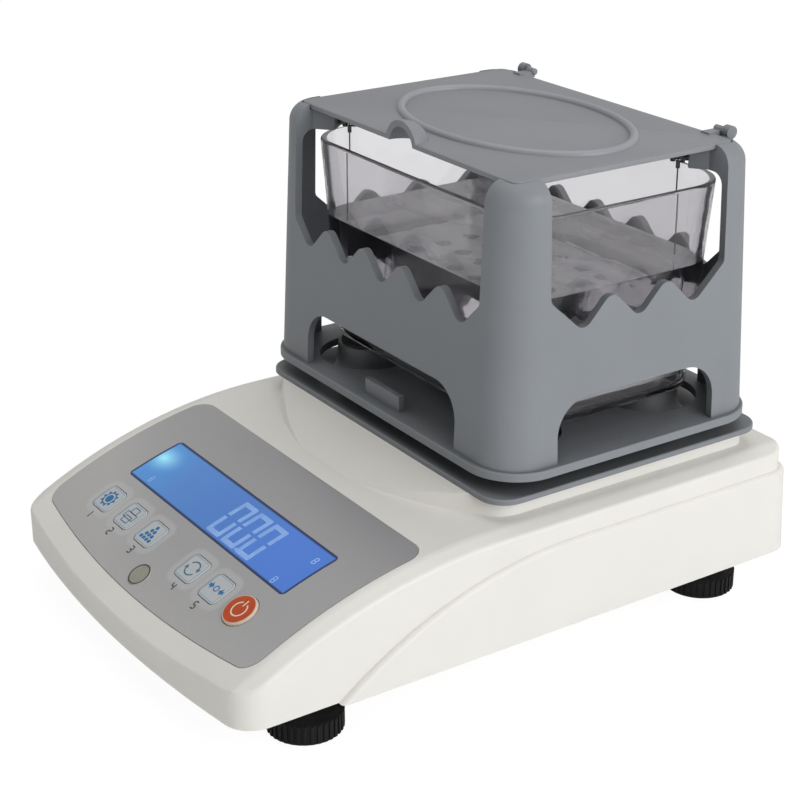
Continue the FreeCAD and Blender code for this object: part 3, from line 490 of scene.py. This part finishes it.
def skin(name, rings, joined=False):
    """Closed mesh through rings of points: capped at both ends, or joined into a loop."""
    bm = bmesh.new()
    loops = [[bm.verts.new(point) for point in ring] for ring in rings]
    pairs = list(zip(loops, loops[1:]))
    if joined:
        pairs.append((loops[-1], loops[0]))
    else:
        bm.faces.new(loops[0])
        bm.faces.new(loops[-1])
    for a, b in pairs:
        for i in range(len(a)):
            j = (i + 1) % len(a)
            bm.faces.new((a[i], a[j], b[j], b[i]))
    bmesh.ops.recalc_face_normals(bm, faces=bm.faces)
    mesh = bpy.data.meshes.new(name)
    bm.to_mesh(mesh)
    bm.free()
    return mesh


def turned(start, end, profile, count=20):
    """Rings of a turned part: profile gives distances from start towards end, and radii, in mm."""
    axis = (end - start).normalized()
    side = axis.orthogonal().normalized()
    other = axis.cross(side)
    turns = [2 * math.pi * i / count for i in range(count)]
    spokes = [side * math.cos(a) + other * math.sin(a) for a in turns]
    return [[start + axis * (d * MM) + spoke * (r * MM) for spoke in spokes] for d, r in profile]


def carve(name, base, steps):
    """The base mesh after each (operation, mesh) step, UNION or DIFFERENCE."""
    target = bpy.data.objects.new(name, base)
    bpy.context.scene.collection.objects.link(target)
    tools = []
    for operation, mesh in steps:
        tool = bpy.data.objects.new(name + "_tool", mesh)
        bpy.context.scene.collection.objects.link(tool)
        tool.hide_render = True
        modifier = target.modifiers.new(operation, "BOOLEAN")
        modifier.operation = operation
        modifier.solver = "EXACT"
        modifier.object = tool
        tools.append(tool)
    depsgraph = bpy.context.evaluated_depsgraph_get()
    mesh = bpy.data.meshes.new_from_object(target.evaluated_get(depsgraph))
    for leftover in tools + [target]:
        bpy.data.objects.remove(leftover)
    return mesh


def circle(cx, cy, r, count=40):
    turns = [2 * math.pi * i / count for i in range(count)]
    return [(cx + r * math.cos(a), cy + r * math.sin(a)) for a in turns]


def arc_band(cx, cy, r, half, start, end):
    """Closed outline of a bent bar from angle start to end, in degrees."""
    count = 24
    angles = [math.radians(start + (end - start) * i / count) for i in range(count + 1)]
    outer = [(cx + (r + half) * math.cos(a), cy + (r + half) * math.sin(a)) for a in angles]
    inner = [(cx + (r - half) * math.cos(a), cy + (r - half) * math.sin(a)) for a in reversed(angles)]
    return outer + inner


def bar(x0, y0, x1, y1, half):
    """Closed outline of a straight bar between two points; half is half its width."""
    direction = Vector((x1 - x0, y1 - y0)).normalized()
    side = Vector((-direction.y, direction.x)) * half
    return [(x0 - side.x, y0 - side.y), (x1 - side.x, y1 - side.y),
            (x1 + side.x, y1 + side.y), (x0 + side.x, y0 + side.y)]


# ---------------------------------------------------------------- finishes
CREAM = (0.832, 0.816, 0.772)
CAGE = (0.236, 0.254, 0.273)
LID = (0.256, 0.264, 0.284)
# painted highlight: the ridge is the lid's plastic, made 1.25 times lighter
RIDGE_HIGHLIGHT = tuple(c * 1.25 for c in LID)
PLATE = tuple(c * 0.95 for c in CAGE)
BLACK = (0.009, 0.009, 0.010)

# plastic: name, colour, roughness, size and depth of the grain in mm, colour drift
housing_paint = plastic("housing_cream", CREAM, 0.42, 0.45, 0.012, 0.015)
cage_paint = plastic("cage_grey", CAGE, 0.5, 0.35, 0.02, 0.03)
lid_paint = plastic("lid_grey", LID, 0.47, 0.35, 0.02, 0.03)
ridge_highlight_paint = plastic("lid_ridge_highlight_grey", RIDGE_HIGHLIGHT, 0.42, 0.35, 0.02, 0.03)
plate_paint = plastic("plate_grey", PLATE, 0.47, 0.35, 0.02, 0.03)
black_paint = plastic("black_plastic", BLACK, 0.55, 0.6, 0.02, 0.1).set(Specular_IOR_Level=0.2)
rubber_paint = plastic("rubber", (0.015, 0.015, 0.015), 0.75, 0.8, 0.03, 0.1)
board_paint = plastic("circuit_green", (0.03, 0.20, 0.09), 0.4, 1.5, 0.01, 0.2)
wrap_paint = plastic("battery_wrap", (0.05, 0.16, 0.38), 0.35, 2.0, 0.02, 0.1)
ink_paint = plastic("ink_blue", (0.015, 0.17, 0.40), 0.5, 0.3, 0.004, 0.08)
pale_ink_paint = plastic("ink_pale", (0.85, 0.74, 0.60), 0.5, 0.3, 0.004, 0.03)
line_ink_paint = plastic("ink_line", (0.06, 0.16, 0.25), 0.5, 0.3, 0.004, 0.08)
dark_ink_paint = plastic("ink_dark", (0.05, 0.055, 0.06), 0.5, 0.3, 0.004, 0.08)

# metal: name, colour, roughness, fineness of the streaks along each axis
steel_paint = metal("steel", (0.66, 0.66, 0.67), 0.38).set(Metallic=0.55)
dark_steel_paint = metal("dark_steel", (0.12, 0.11, 0.11), 0.4)
zinc_paint = metal("zinc", (0.58, 0.59, 0.60), 0.36)
aluminium_paint = metal("aluminium", (0.75, 0.76, 0.77), 0.35, (12, 1, 1))
brass_paint = metal("brass", (0.72, 0.55, 0.26), 0.3)

# clear: name, colour, index of refraction, roughness, unbent share
tank_paint = clear("tank_clear", (0.74, 0.73, 0.75), 1.38, 0.0, 0.08)

# painted shade in the crevices and gaps of the cage and the plate
for shaded in (cage_paint, plate_paint):
    shade_crevices(shaded, darkest=0.6, reach_mm=45.0)


def overlay_finish():
    """Silver-grey film with a fine metallic grain, a painted sheen and a paler zone round each key."""
    paint = Paint("panel_grey")
    axes = paint.panel_axes()
    grain = paint.noise(0.3, 2.0, 0.7)
    # painted sheen: pale at the lower edge and at the left, darker up the slope
    slope = paint.remap(axes[1], *FILM_SHEEN_V, 0.0, 1.0)
    drift = paint.math("SUBTRACT", slope, paint.remap(axes[0], *FILM_SHEEN_U, 0.5, 0.0))
    tone = paint.ramp(drift, [
        (0.0, (0.52, 0.515, 0.51)),
        (0.35, (0.40, 0.395, 0.40)),
        (1.0, (0.325, 0.315, 0.33)),
    ])
    fine = paint.ramp(grain, [(0.3, (0.30, 0.30, 0.31)), (0.7, (0.56, 0.56, 0.56))])
    halo = paint.remap(paint.key_field(axes), *FILM_HALO, 0.36, 0.0)
    pale = paint.mix(halo, paint.mix(0.3, tone, fine), (0.62, 0.63, 0.64))
    paint.link(pale, paint.shader.inputs["Base Color"])
    paint.set(Metallic=0.3, Coat_Weight=0.15, Coat_Roughness=0.35)
    paint.link(paint.remap(grain, 0.35, 0.65, 0.40, 0.47), paint.shader.inputs["Roughness"])
    paint.bump(grain, 0.004)
    return paint


def display_finish():
    """Backlit blue display: cyan glow near the left end, deeper blue to the right, navy rim."""
    paint = Paint("display_blue")
    axes = paint.panel_axes()
    along = paint.remap(axes[0], *LCD_U, 0.0, 1.0)
    tone = paint.ramp(along, [
        (0.0, (0.07, 0.27, 0.62)),
        (0.22, (0.07, 0.21, 0.52)),
        (0.55, (0.06, 0.175, 0.50)),
        (0.85, (0.06, 0.18, 0.60)),
        (1.0, (0.055, 0.17, 0.56)),
    ])
    from_glow = paint.radius(axes, GLOW_UV, (0.75, 1.15))
    glow = paint.remap(from_glow, 0.0, GLOW_R, 1.0, 0.0)
    lit = paint.mix(paint.math("MULTIPLY", glow, glow), tone, (0.36, 0.84, 1.0))
    cloud = paint.noise(14.0, 2.0)
    shade = paint.mix(paint.remap(cloud, 0.3, 0.7, 0.0, 0.16), lit, (0.07, 0.15, 0.42))
    middle = [(low + high) / 2 for low, high in (LCD_U, LCD_V)]
    half = [(high - low) / 2 for low, high in (LCD_U, LCD_V)]
    rim = paint.remap(paint.box_field(axes, middle, half), *LCD_RIM, 0.0, 0.97)
    shade = paint.mix(rim, shade, (0.010, 0.022, 0.07))
    paint.link(paint.mix(0.9, shade, (0.01, 0.01, 0.015)), paint.shader.inputs["Base Color"])
    paint.link(shade, paint.shader.inputs["Emission Color"])
    paint.set(Emission_Strength=0.92, Roughness=0.3, Specular_IOR_Level=0.25)
    return paint


def key_finish():
    """Pale key film with a thin blue-green line just inside its edge."""
    paint = Paint("key_silver")
    axes = paint.panel_axes()
    grain = paint.noise(0.3, 2.0)
    tone = paint.ramp(grain, [(0.3, (0.50, 0.53, 0.555)), (0.7, (0.56, 0.59, 0.61))])
    line = paint.math("COMPARE", paint.key_field(axes), KEY_LINE)
    line.node.inputs[2].default_value = KEY_LINE_HALF_W
    lined = paint.mix(paint.math("MULTIPLY", line, 0.6), tone, (0.16, 0.36, 0.44))
    paint.link(lined, paint.shader.inputs["Base Color"])
    paint.set(Roughness=0.38)
    paint.bump(grain, 0.008)
    return paint


def power_finish():
    """Orange disc with a cream edge."""
    paint = Paint("power_orange")
    axes = paint.panel_axes()
    cloud = paint.noise(2.0, 2.0)
    orange = paint.ramp(cloud, [(0.3, (0.52, 0.062, 0.010)), (0.7, (0.58, 0.078, 0.013))])
    edge = paint.remap(paint.radius(axes, POWER_UV), *POWER_EDGE_R, 0.0, 1.0)
    paint.link(paint.mix(edge, orange, (0.66, 0.56, 0.46)), paint.shader.inputs["Base Color"])
    paint.set(Roughness=0.45, Specular_IOR_Level=0.3)
    paint.bump(cloud, 0.01)
    return paint


def level_finish():
    """Khaki lens of the spirit level with a thin dark line; outside it lies the grey of the film."""
    paint = Paint("level_khaki")
    axes = paint.panel_axes()
    cloud = paint.noise(3.0, 2.0)
    tone = paint.ramp(cloud, [(0.3, (0.29, 0.29, 0.235)), (0.7, (0.34, 0.34, 0.275))])
    radius = paint.radius(axes, LEVEL_UV)
    line = paint.remap(radius, *LEVEL_LINE_R, 0.0, 1.0)
    lined = paint.mix(line, tone, (0.05, 0.05, 0.045))
    film = paint.remap(radius, *LEVEL_FILM_R, 0.0, 1.0)
    paint.link(paint.mix(film, lined, (0.47, 0.465, 0.465)), paint.shader.inputs["Base Color"])
    paint.set(Roughness=0.25, Coat_Weight=0.3, Coat_Roughness=0.1)
    return paint


def water_finish():
    """Rippled water whose top face carries a streaky pale veil as a painted reflection."""
    paint = clear("water", (0.985, 0.98, 0.985), 1.333, 0.05)
    paint.bump(paint.noise(14.0, 2.0, 0.5, (0.45, 1, 1)), 0.75)
    shape = paint.tree.nodes.new("ShaderNodeNewGeometry")
    split = paint.tree.nodes.new("ShaderNodeSeparateXYZ")
    paint.link(shape.outputs["True Normal"], split.inputs[0])
    # painted reflection: the top face turns partly into pale matte white, in streaks
    upward = paint.remap(split.outputs[2], 0.8, 0.95, 0.0, 1.0)
    streak = paint.remap(paint.noise(22.0, 3.0, 0.55, (0.35, 1, 1)), 0.35, 0.65, 0.14, 0.42)
    paint.link(paint.math("SUBTRACT", 1.0, paint.math("MULTIPLY", upward, streak)),
               paint.shader.inputs["Transmission Weight"])
    return paint


water_paint = water_finish()
overlay_paint = overlay_finish()
display_paint = display_finish()
level_paint = level_finish()
key_paint = key_finish()
power_paint = power_finish()

FINISHES = {
    "housing_cream": housing_paint, "panel_grey": overlay_paint, "display_blue": display_paint,
    "key_silver": key_paint, "power_orange": power_paint, "level_khaki": level_paint,
    "cage_grey": cage_paint, "lid_grey": lid_paint, "plate_grey": plate_paint, "tank_clear": tank_paint,
    "steel": steel_paint, "zinc": zinc_paint, "aluminium": aluminium_paint, "brass": brass_paint,
    "black_plastic": black_paint, "rubber": rubber_paint, "circuit_green": board_paint,
    "battery_wrap": wrap_paint,
}

node_slots = {s["node"]: s["material_slot"] for s in frame["record"]["subparts"]}
for node_name, node in NODES.items():
    node.data.materials.clear()
    node.data.materials.append(FINISHES[node_slots[node_name]].material)
    smooth(node)


# ---------------------------------------------------------------- water
def rounded_ring(half, radius, z, centre):
    """Points of a rounded rectangle at height z: millimetres go in, metres come out."""
    count = 10
    hx, hy = half
    points = []
    for i, (sx, sy) in enumerate(((1, 1), (-1, 1), (-1, -1), (1, -1))):
        for j in range(count + 1):
            a = math.radians(90 * i + 90 * j / count)
            x = centre[0] + sx * (hx - radius) + radius * math.cos(a)
            y = centre[1] + sy * (hy - radius) + radius * math.sin(a)
            points.append(Vector((x, y, z)) * MM)
    return points


def water_body():
    """Water up to its surface, a hair into the tank's inner faces so that no air gap shows."""
    low = TANK_FLOOR_Z + TANK_WALL
    edge_top = low + WATER_EDGE
    steps = 6
    levels = [(low - WATER_OVERLAP, WATER_EDGE), (low + WATER_EDGE_MIDDLE, WATER_EDGE_MIDDLE)]
    levels += [(edge_top + (WATER_Z - edge_top) * i / steps, 0.0) for i in range(steps + 1)]
    rings = []
    for z, inset in levels:
        t = (z - TANK_FLOOR_Z) / (TANK_RIM_Z - TANK_FLOOR_Z)
        half = [foot + (rim - foot) * t - TANK_WALL + WATER_OVERLAP - inset
                for foot, rim in zip(TANK_FOOT_HALF, TANK_RIM_HALF)]
        corner = WATER_CORNER + WATER_CORNER_GROWTH * t - inset * WATER_EDGE_CORNER
        rings.append(rounded_ring(half, corner, z, TANK_CENTRE))
    mesh = skin("water_body", rings)
    piece = add_piece("water_body", mesh, water_paint.material, "root")
    smooth(piece, 30)


# ---------------------------------------------------------------- lid
def hood_rings(radius, front_y, reach, end_radius, lowest_z=None):
    """Rings of an arched tunnel along Y that closes in a rounded end; nothing lies below lowest_z."""
    steps = 14
    count = 36
    whole = lowest_z is None
    stations = [(front_y, radius), (HOOD_Y, radius)]
    for i in range(1, steps + 1):
        size = radius + (end_radius - radius) * (i / steps) ** 2
        stations.append((HOOD_Y + reach * math.sqrt(1 - (size / radius) ** 2), size))
    rings = []
    for y, size in stations:
        low = -math.pi / 2 if whole else math.asin((lowest_z - HOOD_Z) / size)
        points = count if whole else count + 1
        turns = [low + (math.pi - 2 * low) * i / count for i in range(points)]
        rings.append([Vector((HOOD_X + size * math.cos(a), y, HOOD_Z + size * math.sin(a))) * MM
                      for a in turns])
    return rings


def lid_lug(side):
    """Carving steps for the bar on the hinge line and the arm that joins it to the lid."""
    start, end = (Vector((side * x, HINGE_Y, HINGE_Z)) * MM for x in LUG_X)
    length = (end - start).length / MM
    profile = [(0, 0.9), (0.6, LUG_R), (length - 0.5, LUG_R), (length, 1.0)]
    inner, outer = LUG_ARM_X
    low, high = LUG_ARM_Z
    corners = [(inner, low), (outer, low), (outer, high), (inner, high)]
    arm_rings = [[Vector((side * x, y, z)) * MM for x, z in corners] for y in LUG_ARM_Y]
    return [("UNION", skin("lug_bar", turned(start, end, profile))),
            ("UNION", skin("lug_arm", arm_rings))]


def lid_shell():
    """Lid plate with the finger notch and the rear lugs, in place of the solid lid."""
    centre = (0.0, CAGE_Y)
    under = LID_TOP - LID_T
    edge = [(under, LID_BEVEL), (under + LID_BEVEL, 0.0), (LID_TOP - LID_ROUNDING, 0.0),
            (LID_TOP - LID_ROUNDING_MIDDLE, LID_ROUNDING_MIDDLE), (LID_TOP, LID_ROUNDING)]
    plate_rings = []
    for z, inset in edge:
        half = [length - inset for length in LID_HALF]
        plate_rings.append(rounded_ring(half, LID_R - inset, z, centre))
    hood = hood_rings(HOOD_R, LID_FRONT_Y, HOOD_REACH, HOOD_END_R, HOOD_LOW_Z)
    hollow = hood_rings(HOLLOW_R, LID_FRONT_Y - HOLLOW_LEAD, HOLLOW_REACH, HOLLOW_END_R)
    steps = [("UNION", skin("hood", hood)), ("DIFFERENCE", skin("hollow", hollow))]
    steps += lid_lug(-1) + lid_lug(1)
    mesh = carve("lid_shell", skin("lid_plate", plate_rings), steps)
    piece = add_piece("lid_shell", mesh, lid_paint.material, "lid")
    smooth(piece, 30)
    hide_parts("cage_lid")


def lid_ridge():
    """Rounded oval ridge on top of the lid, in a lighter copy of the lid's paint that is a painted
    highlight.
    """
    half = RIDGE_W / 2
    arch_steps = 8
    section = [(-half, RIDGE_FOOT), (-half, RIDGE_SHOULDER)]
    for i in range(1, arch_steps):
        a = math.pi * i / arch_steps
        height = RIDGE_SHOULDER + (RIDGE_H - RIDGE_SHOULDER) * math.sin(a)
        section.append((-half * math.cos(a), height))
    section += [(half, RIDGE_SHOULDER), (half, RIDGE_FOOT)]
    count = 120
    rings = []
    for i in range(count):
        a = 2 * math.pi * i / count
        out = Vector((math.cos(a) / RIDGE_HALF[0], math.sin(a) / RIDGE_HALF[1])).normalized()
        x = RIDGE_CENTRE[0] + RIDGE_HALF[0] * math.cos(a)
        y = RIDGE_CENTRE[1] + RIDGE_HALF[1] * math.sin(a)
        rings.append([Vector((x + out.x * r, y + out.y * r, LID_TOP + z)) * MM for r, z in section])
    mesh = skin("lid_ridge", rings, joined=True)
    piece = add_piece("lid_ridge", mesh, ridge_highlight_paint.material, "lid")
    smooth(piece, 60)


# ---------------------------------------------------------------- hangers
def hanger_arm(name, wire, root):
    """Block with a bevelled tip that reaches from the cage's corner towards the wire."""
    along = (root - wire).normalized()
    side = Vector((-along.y, along.x, 0))
    stations = ((ARM_TIP, ARM_BEVEL), (ARM_TIP + ARM_BEVEL, 0.0), ((root - wire).length, 0.0))
    rings = []
    for distance, inset in stations:
        middle = wire + along * distance
        low = ARM_Z[0] + inset
        high = ARM_Z[1] - inset
        left = middle - side * (ARM_HALF_W - inset)
        right = middle + side * (ARM_HALF_W - inset)
        ring = [(left, low), (right, low), (right, high), (left, high)]
        rings.append([Vector((point.x, point.y, z)) * MM for point, z in ring])
    add_piece(name, skin(name, rings), cage_paint.material, "weighing_frame")


def crimp(x, y, z, length):
    """Crimped sleeve round a wire, with its foot at the point given."""
    foot = Vector((x, y, z)) * MM
    head = foot + Vector((0, 0, length * MM))
    profile = [(0, CRIMP_END_R), (CRIMP_BEVEL, CRIMP_R), (length - CRIMP_BEVEL, CRIMP_R),
               (length, CRIMP_END_R)]
    return skin("crimp", turned(foot, head, profile, 14))


def dark_steel_piece(name, meshes, node):
    """One piece of several meshes, in place of a node of the frame."""
    bm = bmesh.new()
    for mesh in meshes:
        bm.from_mesh(mesh)
    joined = bpy.data.meshes.new(name)
    bm.to_mesh(joined)
    bm.free()
    piece = add_piece(name, joined, dark_steel_paint.material, "weighing_frame")
    smooth(piece, 40)
    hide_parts(node)


def hangers():
    """Arms at the cage's corners, with the bolts, wires and crimped wire ends that they hold."""
    wire_profile = [(0, WIRE_R), (WIRE_ENDS_Z[1] - WIRE_ENDS_Z[0], WIRE_R)]
    bolts = []
    crimps = []
    wires = []
    for sx, side_name in ((-1, "left"), (1, "right")):
        for sy, end_name in ((-1, "front"), (1, "rear")):
            wire = Vector((sx * WIRE_XY[0], CAGE_Y + sy * WIRE_XY[1], BOLT_Z))
            root = Vector((sx * ARM_ROOT[0], CAGE_Y + sy * ARM_ROOT[1], BOLT_Z))
            hanger_arm("hanger_arm_" + end_name + "_" + side_name, wire, root)
            bolts.append(skin("bolt", turned(wire * MM, root * MM, BOLT)))
            low_end, high_end = (Vector((wire.x, wire.y, z)) * MM for z in WIRE_ENDS_Z)
            wires.append(skin("wire", turned(low_end, high_end, wire_profile, 12)))
            for z, length in CRIMPS:
                crimps.append(crimp(wire.x, wire.y, z, length))
    dark_steel_piece("hanger_bolts", bolts, "hanger_pins")
    dark_steel_piece("wire_crimps", crimps, "wire_ferrules")
    dark_steel_piece("thin_wires", wires, "suspension_wires")


# ---------------------------------------------------------------- display and key marks
SEGMENTS = {"1": "bc", "2": "abged", "3": "abgcd", "4": "fgbc", "5": "afgcd", "8": "abcdefg"}


def digit_outlines(char, u, v, width, height, bar_w):
    """Seven-segment outlines with their lower left corner at (u, v)."""
    half = bar_w / 2
    mid = v + height / 2
    left, right = u + half, u + width - half
    low, high = v + half, v + height - half
    spans = {
        "a": (left, high, right, high), "g": (left, mid, right, mid), "d": (left, low, right, low),
        "f": (left, mid, left, high), "b": (right, mid, right, high),
        "e": (left, low, left, mid), "c": (right, low, right, mid),
    }
    outlines = []
    for letter in SEGMENTS[char]:
        x0, y0, x1, y1 = spans[letter]
        if y0 == y1:
            outlines.append([[(x0, y0), (x0 + half, y0 - half), (x1 - half, y0 - half), (x1, y0),
                              (x1 - half, y0 + half), (x0 + half, y0 + half)]])
        else:
            outlines.append([[(x0, y0), (x0 + half, y0 + half), (x0 + half, y1 - half), (x0, y1),
                              (x0 - half, y1 - half), (x0 - half, y0 + half)]])
    return outlines


def zero_outlines(u, v, width, height, bar_w):
    """A lit zero as two bent strips with a gap at half height."""
    chamfer = bar_w * 0.25
    gap = bar_w * 0.3
    right = u + width
    outlines = []
    for end, way in ((v, 1), (v + height, -1)):
        mid = v + height / 2 - way * gap
        outer = end + way * chamfer
        inner = end + way * bar_w
        outlines.append([[(u, mid), (u, outer), (u + chamfer, end), (right - chamfer, end),
                          (right, outer), (right, mid), (right - bar_w, mid),
                          (right - bar_w, inner), (u + bar_w, inner), (u + bar_w, mid)]])
    return outlines


def glow_finish():
    """Pale blue of the display's lit figures."""
    paint = Paint("display_digit")
    cloud = paint.noise(6.0, 2.0)
    tone = paint.ramp(cloud, [(0.3, (0.16, 0.30, 0.62)), (0.7, (0.21, 0.36, 0.68))])
    paint.link(tone, paint.shader.inputs["Base Color"])
    paint.link(tone, paint.shader.inputs["Emission Color"])
    paint.set(Emission_Strength=0.36, Roughness=0.3)
    return paint


def display_marks():
    """Three zeros with a point, and a few small figures."""
    paint = glow_finish()
    outlines = []
    for i in range(3):
        outlines += zero_outlines(ZERO_UV[0] + i * ZERO_PITCH, ZERO_UV[1], *ZERO_SIZE, ZERO_BAR)
    outlines.append([circle(*POINT_UV, POINT_R, 16)])
    for figure in SMALL_FIGURES:
        outlines += digit_outlines("8", *figure)
    mesh = flat_shape("display_digits", outlines, LCD_TOP, LCD_TOP + FIGURE_RISE)
    add_piece("display_digits", mesh, paint.material, "root")


def ring(cx, cy, r, half, count=40):
    """Outer and inner outline of a ring; half is half the width of its band."""
    return [circle(cx, cy, r + half, count), list(reversed(circle(cx, cy, r - half, count)))]


def key_mark(key, outlines, paint):
    mesh = flat_shape(key + "_mark", outlines, KEY_TOP, KEY_TOP + INK_RISE, KEY_V)
    add_piece(key + "_mark", mesh, paint.material, key + "_body")


def gear_mark(u):
    """Ten teeth round a ring, with a filled middle."""
    foot, tip = 3.2, 4.2
    teeth = []
    for i in range(10):
        a = math.pi * i / 5
        x, y = math.cos(a), math.sin(a)
        teeth.append([bar(u + foot * x, KEY_V + foot * y, u + tip * x, KEY_V + tip * y, 0.5)])
    return teeth + [ring(u, KEY_V, 3.1, 0.3), [circle(u, KEY_V, 2.0)]]


def printer_mark(u):
    """Outlines of a box with a sheet above and a sheet below it."""
    half = 0.22
    box = (-3.6, -1.6, 3.6, 1.4)
    upper_sheet = (-2.0, 1.4, 2.0, 4.2)
    lower_sheet = (-2.2, -3.6, 2.2, -0.4)
    marks = []
    for x0, y0, x1, y1 in (box, upper_sheet, lower_sheet):
        corners = [(x0, y0), (x1, y0), (x1, y1), (x0, y1)]
        for (ax, ay), (bx, by) in zip(corners, corners[1:] + corners[:1]):
            marks.append([bar(u + ax, KEY_V + ay, u + bx, KEY_V + by, half)])
    return marks


def dots_mark(u):
    """Ten dots in a triangle that stands on its side of four."""
    top, pitch, r = 3.3, 2.1, 0.92
    marks = []
    for row in range(4):
        for j in range(row + 1):
            marks.append([circle(u + (j - row / 2) * pitch, KEY_V + top - row * pitch, r, 14)])
    return marks


def cycle_mark(u):
    """Two bent arrows, one after the other round a circle."""
    r = 3.3
    marks = []
    for turn in (0, 180):
        marks.append([arc_band(u, KEY_V, r, 0.32, turn + 20, turn + 150)])
        a = math.radians(turn + 12)
        out = Vector((math.cos(a), math.sin(a)))
        along = Vector((math.sin(a), -math.cos(a)))
        tip = Vector((u + r * math.cos(a), KEY_V + r * math.sin(a)))
        foot = tip - along * 0.5
        marks.append([[tuple(tip + along * 1.3), tuple(foot + out * 1.1), tuple(foot - out * 1.1)]])
    return marks


def zero_mark(u):
    """Two arrows that point at a small ring."""
    head = 1.7
    marks = [ring(u, KEY_V, 1.2, 0.25, 24)]
    for side in (-1, 1):
        tip = u + side * 2.0
        base = tip + side * head
        marks.append([[(tip, KEY_V), (base, KEY_V - head), (base, KEY_V + head)]])
        marks.append([bar(base, KEY_V, tip + side * 2.8, KEY_V, 0.7)])
    return marks


def power_mark():
    """Ring that is open at the top, with an upright bar in the gap."""
    u, v = POWER_UV
    half = 0.3
    outlines = [[arc_band(u, v, 3.3, half, 115, 425)], [bar(u, v + 1.6, u, v + 4.6, half)]]
    mesh = flat_shape("power_key_mark", outlines, POWER_TOP, POWER_TOP + INK_RISE, v)
    add_piece("power_key_mark", mesh, pale_ink_paint.material, "power_key_body")


def key_numbers():
    """Plain numbers under the keys."""
    width, height = NUMBER_SIZE
    outlines = []
    for i, u in enumerate(NUMBERS_U):
        outlines += digit_outlines(str(i + 1), u - width / 2, NUMBERS_V, width, height, NUMBER_BAR)
    mesh = flat_shape("key_numbers", outlines, FILM_TOP, FILM_TOP + NUMBER_RISE)
    add_piece("key_numbers", mesh, dark_ink_paint.material, "root")


# ---------------------------------------------------------------- floor
def make_floor():
    """Pale floor, which the camera sees as a mostly even white."""
    bpy.ops.mesh.primitive_plane_add(size=FLOOR_SIZE, location=(0, 0, FLOOR_Z))
    floor = bpy.context.active_object
    floor.name = "floor"
    paint = Paint("floor")
    grain = paint.noise(60.0, 2.0)
    tone = paint.ramp(grain, [(0.3, (FLOOR_TONE * 0.99,) * 3), (0.7, (FLOOR_TONE * 1.01,) * 3)])
    paint.link(tone, paint.shader.inputs["Base Color"])
    paint.set(Roughness=0.8, Specular_IOR_Level=0.1)
    glow = paint.tree.nodes.new("ShaderNodeEmission")
    glow.inputs["Strength"].default_value = FLOOR_GLOW
    path = paint.tree.nodes.new("ShaderNodeLightPath")
    seen = paint.math("MAXIMUM", path.outputs["Is Camera Ray"], path.outputs["Is Transmission Ray"])
    mix = paint.tree.nodes.new("ShaderNodeMixShader")
    paint.link(paint.math("MULTIPLY", seen, FLOOR_GLOW_SHARE), mix.inputs[0])
    paint.link(paint.shader.outputs[0], mix.inputs[1])
    paint.link(glow.outputs[0], mix.inputs[2])
    paint.link(mix.outputs[0], paint.out.inputs["Surface"])
    floor.data.materials.append(paint.material)


make_camera()
make_world()
area_light("key", MAIN_AT, MAIN_TARGET, MAIN_SIZE, MAIN_POWER, MAIN_TINT)
area_light("top", TOP_AT, TOP_TARGET, TOP_SIZE, TOP_POWER)
make_floor()
water_body()
lid_shell()
lid_ridge()
hangers()
display_marks()
for key, marker, ink in (("key_set", gear_mark, ink_paint), ("key_print", printer_mark, line_ink_paint),
                         ("key_enter", dots_mark, ink_paint), ("key_mode", cycle_mark, line_ink_paint),
                         ("key_zero", zero_mark, ink_paint)):
    key_mark(key, marker(KEYS[key]), ink)
power_mark()
key_numbers()

scene = bpy.context.scene
scene.view_settings.view_transform = "Standard"
